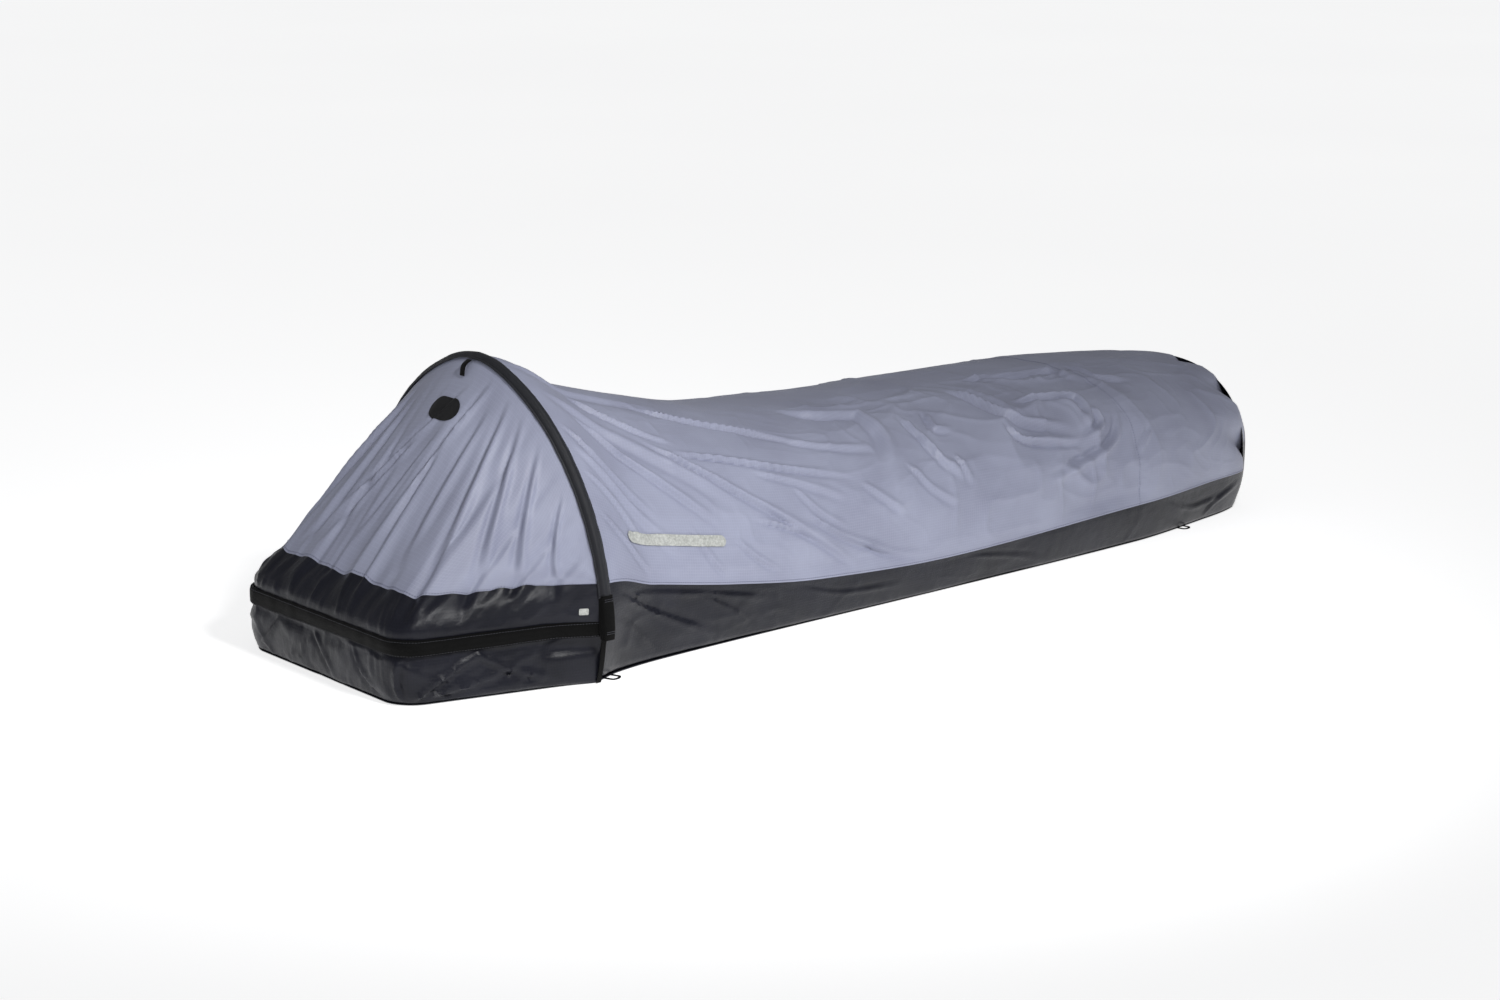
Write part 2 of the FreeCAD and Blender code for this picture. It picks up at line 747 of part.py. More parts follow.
def add_tieback_loop():
    """A webbing ring on the outside of the door, just below the apex."""
    apex = hoop_point(0.0, 0.0, sleeve_ahead)
    low = door_base[len(door_base) // 2]
    down = (low - apex).normalize()
    out = Vector(down.z, 0, -down.x)
    place = apex + down * (dim("tieback_height") / 2 + 10.0) + out * 1.0
    turn = Rotation(Vector(0, 1, 0), down * -1, out, "ZXY")
    outer, inner = ("tieback_width", "tieback_height"), ("tieback_hole_width", "tieback_hole_height")
    add_ring("tieback_loop", outer, inner, "tieback_thick", Placement(place, turn))


for name, side in SIDES:
    add_stake_loop("stake_loop_hoop_" + name, 30.0, side)
    add_stake_loop("stake_loop_foot_" + name, dim("foot_loop_station"), side)
add_tieback_loop()

# ---------------------------------------------------------------------------------------
# Check every object, then write each piece to its own file
# ---------------------------------------------------------------------------------------

doc.recompute()
for item in doc.Objects:
    bad = [state for state in item.State if state in ("Invalid", "Error")]
    if bad:
        raise RuntimeError("%s: %s" % (item.Label, bad))
os.makedirs("parts", exist_ok=True)
for label, item in parts.items():
    shape = item.Shape
    if shape.isNull() or not shape.isValid() or len(shape.Solids) != 1:
        raise RuntimeError("%s has no sound solid" % label)
for label, item in parts.items():
    item.Shape.exportStep("parts/%s.step" % label)
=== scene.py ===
import math

import bpy
import numpy as np
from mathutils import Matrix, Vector


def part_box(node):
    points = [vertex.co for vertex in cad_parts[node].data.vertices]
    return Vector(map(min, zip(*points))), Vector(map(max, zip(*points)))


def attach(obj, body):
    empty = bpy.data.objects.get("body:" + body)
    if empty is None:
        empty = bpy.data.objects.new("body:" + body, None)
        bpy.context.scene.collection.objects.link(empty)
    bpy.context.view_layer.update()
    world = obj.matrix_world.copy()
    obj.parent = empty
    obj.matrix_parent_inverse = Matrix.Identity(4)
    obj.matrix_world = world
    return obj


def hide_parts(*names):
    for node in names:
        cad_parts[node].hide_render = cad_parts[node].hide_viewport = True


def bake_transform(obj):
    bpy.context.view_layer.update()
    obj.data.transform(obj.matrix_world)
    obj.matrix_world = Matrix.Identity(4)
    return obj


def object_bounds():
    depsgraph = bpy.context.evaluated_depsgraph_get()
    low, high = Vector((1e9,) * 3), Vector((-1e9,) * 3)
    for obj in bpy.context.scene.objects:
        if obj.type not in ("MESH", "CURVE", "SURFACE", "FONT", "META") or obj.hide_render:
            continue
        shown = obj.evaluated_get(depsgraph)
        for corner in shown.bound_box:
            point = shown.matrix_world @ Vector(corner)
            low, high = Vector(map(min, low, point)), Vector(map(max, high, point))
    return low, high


# A one-person bivy sack dressed in cloth.  Metres, in the frame's own axes: the head is
# at -X, the sleeper's right side at -Y, the ground at z 0.

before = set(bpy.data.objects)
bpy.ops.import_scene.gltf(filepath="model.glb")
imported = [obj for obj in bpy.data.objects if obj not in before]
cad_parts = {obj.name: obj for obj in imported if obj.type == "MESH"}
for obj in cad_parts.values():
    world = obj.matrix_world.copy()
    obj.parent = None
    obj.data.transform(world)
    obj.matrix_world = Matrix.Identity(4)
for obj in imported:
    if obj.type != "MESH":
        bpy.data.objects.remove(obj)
cad_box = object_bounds()

# ---------------------------------------------------------------------------------------
# The sack's sizes
# ---------------------------------------------------------------------------------------

HOOP_X = (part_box("pole_sleeve")[0][0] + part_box("pole_sleeve")[1][0]) / 2
HEAD_LENGTH = 0.330
CORNER_Y, BASE_Y, CORNER_RADIUS = 0.238, 0.324, 0.060
CORNER_LEAN = 0.6
WALL_INSET = 0.009
SIDE_STEPS, ARC_STEPS, FRONT_STEPS = 68, 20, 80
PLAN_COUNT = 2 * (SIDE_STEPS + ARC_STEPS) + FRONT_STEPS + 1

CROWN_RADIUS, CROWN_TURN, FLANK_RADIUS, HOOP_TOP = 0.200, math.radians(20), 0.420, 0.488
CROWN_RUN = CROWN_RADIUS * CROWN_TURN
HALF_RUN = CROWN_RUN + FLANK_RADIUS * (math.pi / 2 - CROWN_TURN)
SEAM_RUN = HALF_RUN - 0.087  # where the tub's seam meets the hoop
SLEEVE_RUN = HALF_RUN - 0.066  # where the pole's sleeve ends, in its pocket

# distance behind the hoop, half-width on the floor, half-width at the belly, height of
# the belly, height of the ridge, roundness of the arch, height of the seam on the tub
STATIONS = np.array([
    (0.001, 0.318, 0.334, 0.095, 0.488, 1.85, 0.168),
    (0.060, 0.296, 0.312, 0.098, 0.452, 1.95, 0.151),
    (0.150, 0.284, 0.300, 0.105, 0.424, 2.05, 0.134),
    (0.300, 0.278, 0.298, 0.112, 0.384, 2.20, 0.108),
    (0.500, 0.274, 0.297, 0.120, 0.342, 2.40, 0.082),
    (0.800, 0.270, 0.297, 0.120, 0.324, 2.55, 0.068),
    (1.340, 0.256, 0.283, 0.118, 0.318, 2.50, 0.082),
    (1.560, 0.224, 0.250, 0.115, 0.306, 2.40, 0.084),
    (1.700, 0.192, 0.215, 0.112, 0.290, 2.30, 0.080),
    (1.738, 0.162, 0.186, 0.110, 0.262, 2.20, 0.078),
])
FLOOR, BELLY, MID, RIDGE, ROUND, SEAM = range(1, 7)
CANOPY_END, FOOT_SEAM, SHELL_END = 0.500, 1.320, 1.738


def smooth(low, high, x):
    """0 below low, 1 above high, and an easy turn between them."""
    t = np.clip((np.asarray(x, float) - low) / (high - low), 0.0, 1.0)
    return t * t * (3 - 2 * t)


def unit(v):
    """The same directions, one unit long."""
    return v / np.maximum(np.linalg.norm(v, axis=-1, keepdims=True), 1e-12)


def lengths(path):
    """The length along a path at each of its points."""
    return np.concatenate([[0], np.cumsum(np.linalg.norm(np.diff(path, axis=0), axis=1))])


def along_path(at, run, path):
    """The path's points at these lengths; run is the length at each point it has."""
    return np.stack([np.interp(at, run, column) for column in path.T], -1)


def slopes(xs, ys):
    """Slopes that keep a cubic through the points from overshooting."""
    h, delta = np.diff(xs), np.diff(ys) / np.diff(xs)
    inner = np.zeros(len(xs) - 2)
    same = delta[:-1] * delta[1:] > 0
    w1, w2 = 2 * h[1:] + h[:-1], h[1:] + 2 * h[:-1]
    inner[same] = (w1 + w2)[same] / (w1[same] / delta[:-1][same] + w2[same] / delta[1:][same])
    return np.concatenate([[delta[0]], inner, [delta[-1]]])


def through(xs, ys, x):
    """A smooth curve through the points."""
    m = slopes(xs, ys)
    i = np.clip(np.searchsorted(xs, x) - 1, 0, len(xs) - 2)
    h = xs[i + 1] - xs[i]
    t = np.clip((x - xs[i]) / h, 0, 1)
    return (
        ys[i] * (1 + 2 * t) * (1 - t) ** 2 + h * m[i] * t * (1 - t) ** 2
        + ys[i + 1] * t * t * (3 - 2 * t) + h * m[i + 1] * t * t * (t - 1)
    )


def station(d):
    """The seven values at a distance behind the hoop."""
    return [d] + [float(through(STATIONS[:, 0], STATIONS[:, k], d)) for k in range(1, 7)]


def half_width(s, z):
    """Half the sack's width at height z: it bellies out from the floor, then arches over."""
    z = np.asarray(z, float)
    drop = np.clip((s[MID] - z) / s[MID], 0, 1)
    below = s[BELLY] - (s[BELLY] - s[FLOOR]) * drop**2
    rise = np.clip((z - s[MID]) / (s[RIDGE] - s[MID]), 0, 1)
    above = s[BELLY] * (1 - rise ** s[ROUND]) ** (1 / s[ROUND])
    return np.where(z <= s[MID], below, above)


def hoop_point(run, inset=0.0, ahead=0.0):
    """A point of the pole's middle line; run is the length from the apex, less than 0 on
    the right.  Inset goes towards the inside of the hoop, ahead towards the head."""
    run = np.asarray(run, float)
    reach = np.abs(run)
    crown = reach / CROWN_RADIUS
    flank = CROWN_TURN + (reach - CROWN_RUN) / FLANK_RADIUS
    shift = CROWN_RADIUS - FLANK_RADIUS
    in_crown = reach <= CROWN_RUN
    y = np.where(in_crown, (CROWN_RADIUS - inset) * np.sin(crown),
                 shift * math.sin(CROWN_TURN) + (FLANK_RADIUS - inset) * np.sin(flank))
    z = np.where(in_crown, (CROWN_RADIUS - inset) * np.cos(crown),
                 shift * math.cos(CROWN_TURN) + (FLANK_RADIUS - inset) * np.cos(flank))
    z = z + HOOP_TOP - CROWN_RADIUS
    return np.stack([np.full_like(run, HOOP_X) - ahead, np.sign(run) * y, z], -1)


def head_plan(inset, lean=0.0, start=0.0):
    """Points round the head, from the right-hand end of the hoop to the left."""
    corner = np.array([HOOP_X - HEAD_LENGTH + inset + lean, CORNER_Y - inset - CORNER_LEAN * lean])
    base = np.array([HOOP_X, BASE_Y - inset])
    along = (corner - base) / np.linalg.norm(corner - base)
    begin = base + along * start / abs(along[0])
    reach = CORNER_RADIUS * math.tan(math.acos(-along[1]) / 2)
    in_side = corner - along * reach
    centre = np.array([corner[0] + CORNER_RADIUS, corner[1] - reach])
    first = math.atan2(*(in_side - centre)[::-1])
    turn = np.linspace(first, math.pi, ARC_STEPS + 1)[1:]
    side = begin + (in_side - begin) * np.linspace(0, 1, SIDE_STEPS + 1)[:, None]
    arc = centre + CORNER_RADIUS * np.stack([np.cos(turn), np.sin(turn)], -1)
    front = np.linspace(centre[1], -centre[1], FRONT_STEPS + 1)[1:-1]
    front = np.stack([np.full_like(front, corner[0]), front], -1)
    left = np.concatenate([side, arc])
    right = left[::-1] * (1, -1)
    return np.concatenate([left, front, right])[::-1]


def flared(points, amount):
    """Plan points that widen to meet the hoop's legs."""
    widen = amount * smooth(HOOP_X - 0.085, HOOP_X, points[:, 0])
    return points + np.stack([np.zeros(len(points)), np.sign(points[:, 1]) * widen], -1)


# ---------------------------------------------------------------------------------------
# Folds
# ---------------------------------------------------------------------------------------


def noise(u, v, seed):
    """Smooth random hills, from -1 to 1, one unit apart."""
    table = np.random.RandomState(seed).uniform(-1, 1, (97, 89))
    iu, iv = np.floor(u).astype(int), np.floor(v).astype(int)
    fu, fv = u - iu, v - iv
    fu, fv = (f * f * f * (f * (6 * f - 15) + 10) for f in (fu, fv))
    at = [[table[(iu + a) % 97, (iv + b) % 89] for b in (0, 1)] for a in (0, 1)]
    low = at[0][0] * (1 - fv) + at[0][1] * fv
    high = at[1][0] * (1 - fv) + at[1][1] * fv
    return low * (1 - fu) + high * fu


def crinkles(u, v, size, seed, sharp=2.0):
    """Creased cloth: narrow crests between broad hollows, -1 to 1."""
    a, b = u / size, v / size
    wa = a + 0.6 * noise(a * 0.7, b * 0.7, seed + 1)
    wb = b + 0.6 * noise(a * 0.7, b * 0.7, seed + 2)
    crest = (1 - np.abs(noise(wa, wb, seed + 3))) ** (2 * sharp)
    small = (1 - np.abs(noise(wa * 2.1, wb * 2.1, seed + 4))) ** (2 * sharp)
    return 1.5 * (crest * 0.7 + small * 0.3) - 0.6 + 0.35 * noise(a, b, seed + 5)


def curve(points, count=24):
    """A bent line through 2, 3 or more points."""
    points = np.array(points, float)
    t = lengths(points)
    at = np.linspace(0, t[-1], count)
    if len(points) == 2:
        return along_path(at, t, points)
    return np.stack([through(t, points[:, k], at) for k in (0, 1)], -1)


def crease(u, v, points, width, height, valley=0.85, ends=(0.2, 0.35)):
    """A fold along a line: a crest, and a hollow beside it, fading at both ends."""
    line = curve(points)
    best = np.full(u.shape, 9.0)
    offset, share = np.full(u.shape, 9.0), np.zeros(u.shape)
    reach = 5 * width
    near = (
        (u > line[:, 0].min() - reach) & (u < line[:, 0].max() + reach)
        & (v > line[:, 1].min() - reach) & (v < line[:, 1].max() + reach)
    )
    if not near.any():
        return np.zeros(u.shape)
    uu, vv = u[near], v[near]
    b, o, s = best[near], offset[near], share[near]
    steps = len(line) - 1
    for k in range(steps):
        p, q = line[k], line[k + 1]
        e = q - p
        size = float(e @ e) + 1e-12
        t = np.clip(((uu - p[0]) * e[0] + (vv - p[1]) * e[1]) / size, 0, 1)
        du, dv = uu - p[0] - t * e[0], vv - p[1] - t * e[1]
        far = np.hypot(du, dv)
        closer = far < b
        b = np.where(closer, far, b)
        o = np.where(closer, np.sign(e[0] * dv - e[1] * du) * far, o)
        s = np.where(closer, (k + t) / steps, s)
    fade = smooth(0, ends[0], s) * smooth(0, ends[1], 1 - s)
    spread = width * (0.65 + 0.5 * s)
    crest = np.exp(-((o / spread) ** 2))
    hollow = np.exp(-(((o - 1.6 * spread) / (0.95 * spread)) ** 2))
    out = np.zeros(u.shape)
    out[near] = height * fade * (crest - valley * hollow)
    return out


# ---------------------------------------------------------------------------------------
# Cloth meshes
# ---------------------------------------------------------------------------------------


def grid_normals(grid):
    """The unit normal at each point of a grid."""
    along = np.gradient(grid, axis=0)
    across = np.gradient(grid, axis=1)
    n = np.cross(along, across)
    return n / np.maximum(np.linalg.norm(n, axis=2, keepdims=True), 1e-12)


def metric(grid):
    """Lengths along and across a grid, in metres, as (u, v)."""
    across = np.linalg.norm(np.diff(grid, axis=1), axis=2)
    v = np.concatenate([np.zeros((len(grid), 1)), np.cumsum(across, axis=1)], axis=1)
    v -= v[:, v.shape[1] // 2][:, None]
    along = np.linalg.norm(np.diff(grid, axis=0), axis=2).mean(axis=1)
    u = np.concatenate([[0], np.cumsum(along)])[:, None] + np.zeros_like(v)
    return np.stack([u, v], -1)


def add_object(name, data):
    """A new object in the scene that shows the data."""
    made = bpy.data.objects.new(name, data)
    bpy.context.scene.collection.objects.link(made)
    return made


def make_mesh(name, verts, faces, material, uv=None, corner=60):
    """A smooth-shaded piece; edges sharper than corner degrees stay sharp."""
    faces = faces if isinstance(faces, list) else faces.tolist()
    mesh = bpy.data.meshes.new(name)
    mesh.from_pydata(np.asarray(verts, float).tolist(), [], faces)
    if uv is not None:
        layer = mesh.uv_layers.new(name="cloth")
        loops = np.empty(len(mesh.loops), int)
        mesh.loops.foreach_get("vertex_index", loops)
        layer.data.foreach_set("uv", np.asarray(uv, np.float32)[loops].ravel())
    mesh.polygons.foreach_set("use_smooth", np.ones(len(mesh.polygons), bool))
    if corner:
        mesh.set_sharp_from_angle(angle=math.radians(corner))
    mesh.materials.append(material)
    mesh.update()
    return add_object(name, mesh)


def grid_faces(rows, cols, start=0):
    """The quads of a grid whose points are numbered from start, and those numbers."""
    idx = np.arange(rows * cols).reshape(rows, cols) + start
    a, b, c, d = idx[:-1, :-1], idx[1:, :-1], idx[1:, 1:], idx[:-1, 1:]
    return np.stack([a, b, c, d], -1).reshape(-1, 4), idx


def facing_out(grid, uv):
    """The same grid, turned so that its normals point away from the sack's middle line."""
    n = grid_normals(grid)
    middle = np.array([grid[..., 0].mean(), 0, 0.10])
    if float((n * (grid - middle)).sum()) < 0:
        return grid[:, ::-1], uv[:, ::-1]
    return grid, uv


def cloth(name, grid, uv, thickness, material, out=True):
    """A thin closed sheet: the grid's surface and a copy just inside it."""
    if out:
        grid, uv = facing_out(grid, uv)
    n = grid_normals(grid)
    rows, cols = grid.shape[:2]
    outer, idx = grid_faces(rows, cols)
    inner, jdx = grid_faces(rows, cols, rows * cols)
    edges = []
    for a, b in ((idx[:, 0], jdx[:, 0]), (idx[-1, :], jdx[-1, :]),
                 (idx[::-1, -1], jdx[::-1, -1]), (idx[0, ::-1], jdx[0, ::-1])):
        edges.append(np.stack([a[:-1], b[:-1], b[1:], a[1:]], -1)[:, ::-1])
    faces = np.concatenate([outer, inner[:, ::-1]] + edges)
    verts = np.concatenate([grid.reshape(-1, 3), (grid - n * thickness).reshape(-1, 3)])
    return make_mesh(name, verts, faces, material, np.tile(uv.reshape(-1, 2), (2, 1)))


def sweep(name, path, axes, profile, material, closed=False, scale=None):
    """A profile of (a, b) points carried along a path; axes are its two unit directions."""
    first, second = axes
    profile = np.array(profile, float)
    size = np.ones(len(path)) if scale is None else scale
    ring = (
        path[:, None, :]
        + first[:, None, :] * profile[None, :, :1] * size[:, None, None]
        + second[:, None, :] * profile[None, :, 1:] * size[:, None, None]
    )
    n, m = ring.shape[:2]
    idx = np.arange(n * m).reshape(n, m)
    nxt = np.roll(idx, -1, axis=1)
    faces = np.stack([idx[:-1], nxt[:-1], nxt[1:], idx[1:]], -1).reshape(-1, 4).tolist()
    if closed:
        faces += np.stack([idx[-1], nxt[-1], nxt[0], idx[0]], -1).tolist()
    else:
        faces += [idx[0][::-1].tolist(), idx[-1].tolist()]
    uv = np.stack(np.meshgrid(lengths(path), lengths(profile), indexing="ij"), -1).reshape(-1, 2)
    return make_mesh(name, ring.reshape(-1, 3), faces, material, uv, 40)


def stitches(name, path, normals, material, pitch=0.0048, long=0.0034, wide=0.0005):
    """A row of sewn thread: short rounded bars along a path, just proud of the cloth."""
    run = lengths(path)
    at = np.arange(pitch / 2, run[-1] - pitch / 2, pitch)
    mid = along_path(at, run, path)
    up = unit(along_path(at, run, normals))
    go = unit(along_path(at + 0.001, run, path) - mid)
    side = unit(np.cross(go, up))
    bar = [(-0.5, 0, -0.2)]
    for end in (-0.36, 0.36):
        bar += [(end, w, h) for w, h in ((-1, 0.1), (0, 1), (1, 0.1), (0, -0.6))]
    bar = np.array(bar + [(0.5, 0, -0.2)])
    verts = (
        mid[:, None] + go[:, None] * bar[None, :, :1] * long
        + side[:, None] * bar[None, :, 1:2] * wide + up[:, None] * bar[None, :, 2:] * wide
    )
    quads = [(1 + k, 1 + (k + 1) % 4, 5 + (k + 1) % 4, 5 + k) for k in range(4)]
    caps = [(0, 1 + (k + 1) % 4, 1 + k) for k in range(4)]
    caps += [(9, 5 + k, 5 + (k + 1) % 4) for k in range(4)]
    faces = []
    for i in range(len(at)):
        faces += [tuple(10 * i + q for q in f) for f in quads + caps]
    return make_mesh(name, verts.reshape(-1, 3), faces, material, corner=None)


# ---------------------------------------------------------------------------------------
# Materials
# ---------------------------------------------------------------------------------------


class Shader:
    """A Principled material with helpers for its pattern nodes."""

    def __init__(self, name, roughness, **fixed):
        self.material = bpy.data.materials.new(name)
        self.material.use_nodes = True
        self.tree = self.material.node_tree
        self.surface = self.tree.nodes["Principled BSDF"]
        self.surface.inputs["Roughness"].default_value = roughness
        for socket, value in fixed.items():
            self.surface.inputs[socket.replace("_", " ")].default_value = value

    def node(self, kind, **settings):
        made = self.tree.nodes.new("ShaderNode" + kind)
        for key, value in settings.items():
            setattr(made, key, value)
        return made

    def link(self, source, target):
        self.tree.links.new(source, target)

    def place(self, kind="UV"):
        if not hasattr(self, "coords"):
            self.coords = self.node("TexCoord")
        return self.coords.outputs[kind]

    def math(self, operation, a, b=None, c=None):
        made = self.node("Math", operation=operation)
        for socket, value in zip(made.inputs, (a, b, c)):
            if value is None:
                continue
            if isinstance(value, (int, float)):
                socket.default_value = value
            else:
                self.link(value, socket)
        return made.outputs[0]

    def noise(self, scale, detail=3.0, kind="UV"):
        made = self.node("TexNoise")
        made.inputs["Scale"].default_value = scale
        made.inputs["Detail"].default_value = detail
        made.inputs["Roughness"].default_value = 0.55
        self.link(self.place(kind), made.inputs["Vector"])
        return made.outputs[0]

    def waves(self, pitch, axis):
        """A thread every pitch metres across one axis, 0 to 1."""
        split = self.node("SeparateXYZ")
        self.link(self.place(), split.inputs[0])
        turn = self.math("MULTIPLY", split.outputs[axis], 2 * math.pi / pitch)
        return self.math("MULTIPLY_ADD", self.math("SINE", turn), 0.5, 0.5)

    def lines(self, pitch, share, axis):
        """Narrow lines every pitch metres, 1 on the line."""
        split = self.node("SeparateXYZ")
        self.link(self.place(), split.inputs[0])
        step = self.math("PINGPONG", split.outputs[axis], pitch / 2)
        return self.math("LESS_THAN", step, pitch * share / 2)

    def colour(self, dark, light, factor, low=0.3, high=0.7):
        ramp = self.node("ValToRGB")
        ramp.color_ramp.elements[0].position = low
        ramp.color_ramp.elements[0].color = (*dark, 1)
        ramp.color_ramp.elements[1].position = high
        ramp.color_ramp.elements[1].color = (*light, 1)
        self.link(factor, ramp.inputs[0])
        return ramp.outputs[0]

    def mix(self, factor, a, b):
        made = self.node("Mix", data_type="RGBA")
        for socket, value in ((made.inputs[0], factor), (made.inputs[6], a), (made.inputs[7], b)):
            if isinstance(value, (int, float)):
                socket.default_value = value
            elif isinstance(value, tuple):
                socket.default_value = (*value, 1)
            else:
                self.link(value, socket)
        return made.outputs[2]

    def paint(self, colour):
        self.link(colour, self.surface.inputs["Base Color"])

    def gloss(self, low, high, factor):
        spread = self.node("MapRange")
        spread.inputs["To Min"].default_value = low
        spread.inputs["To Max"].default_value = high
        self.link(factor, spread.inputs["Value"])
        self.link(spread.outputs[0], self.surface.inputs["Roughness"])

    def bumps(self, *layers):
        """(height socket, metres) pairs, stacked."""
        last = None
        for height, distance in layers:
            bump = self.node("Bump")
            bump.inputs["Distance"].default_value = distance
            bump.inputs["Strength"].default_value = 1.0
            self.link(height, bump.inputs["Height"])
            if last is not None:
                self.link(last, bump.inputs["Normal"])
            last = bump.outputs[0]
        self.link(last, self.surface.inputs["Normal"])


def srgb(r, g, b):
    """Linear colour from 0-255 display values."""
    shown = (r / 255, g / 255, b / 255)
    return tuple(c / 12.92 if c <= 0.04045 else ((c + 0.055) / 1.055) ** 2.4 for c in shown)


def shade(colour, factor):
    """The colour made darker or lighter."""
    return tuple(min(1, c * factor) for c in colour)


RIPSTOP, THREAD_PITCH = 0.005, 0.0007


def woven(name, dark, light, roughness, gloss, sheen, coat=0.0, crinkle=0.00035, shine=0.45):
    """Thin coated nylon: a fine weave, a reinforcing grid, soft creasing and uneven shade."""
    s = Shader(name, roughness, Specular_IOR_Level=shine, Sheen_Weight=sheen,
               Sheen_Roughness=0.4, Coat_Weight=coat, Coat_Roughness=0.35)
    base = s.colour(dark, light, s.noise(7.0, 4.0))
    weave = s.math("MULTIPLY", s.waves(THREAD_PITCH, 0), s.waves(THREAD_PITCH, 1))
    base = s.mix(0.10, base, s.colour(shade(dark, 0.6), shade(light, 1.35), weave, 0, 1))
    grid = s.math("MAXIMUM", s.lines(RIPSTOP, 0.13, 0), s.lines(RIPSTOP, 0.13, 1))
    s.paint(s.mix(s.math("MULTIPLY", grid, 0.16), base, shade(light, 1.5)))
    s.gloss(*gloss, s.noise(22.0, 3.0))
    s.bumps((s.noise(34.0, 4.0), crinkle), (grid, 0.00006), (weave, 0.00004))
    return s.material


def tape(name, colour, pitch, rough, shine):
    """Webbing or zipper tape: diagonal ribs across a narrow woven band."""
    s = Shader(name, rough, Specular_IOR_Level=shine, Sheen_Weight=0.03, Sheen_Roughness=0.5)
    split = s.node("SeparateXYZ")
    s.link(s.place(), split.inputs[0])
    ahead = s.math("PINGPONG", split.outputs[1], pitch * 3)
    slant = s.math("ADD", split.outputs[0], ahead)
    turn = s.math("MULTIPLY", slant, 2 * math.pi / pitch)
    ribs = s.math("MULTIPLY_ADD", s.math("SINE", turn), 0.5, 0.5)
    base = s.colour(shade(colour, 0.55), shade(colour, 1.5), ribs, 0.1, 0.9)
    worn = s.colour(shade(colour, 0.6), shade(colour, 1.4), s.noise(45.0))
    s.paint(s.mix(0.35, base, worn))
    s.gloss(rough - 0.08, rough + 0.1, s.noise(160.0))
    s.bumps((s.noise(400.0), 0.00008), (ribs, 0.00018))
    return s.material


def hard(name, colour, rough, metallic=0.0, grain=300.0):
    """Plastic or metal with a fine grain and small scuffs."""
    s = Shader(name, rough, Metallic=metallic, Specular_IOR_Level=0.5)
    scuffs = s.noise(grain, 5.0, "Object")
    s.paint(s.colour(shade(colour, 0.78), shade(colour, 1.2), scuffs, 0.35, 0.65))
    s.gloss(max(0.05, rough - 0.14), min(1, rough + 0.14), s.noise(grain / 4, 4.0, "Object"))
    s.bumps((s.noise(grain * 2, 3.0, "Object"), 0.00003))
    return s.material


SHELL = woven("shell_nylon", srgb(141, 144, 165), srgb(157, 161, 182), 0.44, (0.40, 0.54), 0.05)
TUB = woven("tub_nylon", srgb(16, 17, 24), srgb(30, 31, 41), 0.34, (0.26, 0.42), 0.02,
            coat=0.10, crinkle=0.0014, shine=0.20)
FLAP = tape("flap_nylon", srgb(9, 9, 9), 0.0016, 0.62, 0.08)
SLEEVE = tape("sleeve_nylon", srgb(33, 34, 39), 0.0018, 0.50, 0.30)
WEBBING = tape("webbing", srgb(10, 10, 10), 0.0022, 0.7, 0.08)
ZIP_TAPE = tape("zip_tape", srgb(16, 16, 17), 0.0010, 0.85, 0.1)
THREAD = hard("thread", srgb(58, 59, 66), 0.6, grain=900.0)
PALE_THREAD = hard("shell_thread", srgb(112, 115, 138), 0.6, grain=900.0)
ZIP_COIL = hard("zip_coil", srgb(30, 30, 32), 0.35, grain=700.0)
POLE = hard("pole_tube", srgb(120, 124, 130), 0.3, 0.9)
FERRULE = hard("ferrule_metal", srgb(190, 192, 196), 0.25, 1.0)
TIP = hard("pole_tip", srgb(170, 172, 176), 0.35, 1.0)
CORD = hard("elastic_cord", srgb(40, 40, 42), 0.7, grain=1200.0)
SLIDER = hard("slider_metal", srgb(38, 38, 41), 0.32, 0.4, grain=500.0)
PULL = hard("pull_cord", srgb(46, 46, 50), 0.55, grain=700.0)
PATCH = hard("mark_black", srgb(20, 20, 22), 0.5, grain=200.0)
PALE = hard("mark_pale", srgb(178, 180, 176), 0.35, grain=260.0)


def netting():
    """Insect mesh: dark strands both ways, and nothing between them."""
    s = Shader("mesh_net", 0.8)
    s.paint(s.colour(srgb(22, 22, 24), srgb(44, 44, 48), s.noise(30.0)))
    pitch, strand = 0.0021, 0.42
    holes = s.math("MAXIMUM", s.lines(pitch, strand, 0), s.lines(pitch, strand, 1))
    clear = s.node("BsdfTransparent")
    blend = s.node("MixShader")
    s.link(holes, blend.inputs[0])
    s.link(clear.outputs[0], blend.inputs[1])
    s.link(s.surface.outputs[0], blend.inputs[2])
    s.bumps((s.noise(500.0), 0.00005))
    s.link(blend.outputs[0], s.tree.nodes["Material Output"].inputs["Surface"])
    return s.material


NET = netting()

# ---------------------------------------------------------------------------------------
# Floor and tub
# ---------------------------------------------------------------------------------------

THIN = 0.0007


def finish_piece(piece, body, nodes=(), blend=None):
    """Parents the piece to the empty of its body, or, when it has a blend of two bodies, bakes its
    transform into its mesh instead; hides its nodes.
    """
    if blend:
        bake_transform(piece)
    else:
        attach(piece, body)
    if nodes:
        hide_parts(*nodes)
    return piece


def floor_half(x):
    """Half the floor's width at x."""
    outline = head_plan(WALL_INSET)
    left = outline[outline[:, 1] >= 0]
    left = left[np.argsort(left[:, 0])]
    wide = np.array([station(max(0.001, d))[FLOOR] for d in x - HOOP_X])
    ahead = np.interp(x, left[:, 0], left[:, 1])
    return np.where(x > HOOP_X, wide, ahead + 0.003 * smooth(HOOP_X - 0.08, HOOP_X, x))


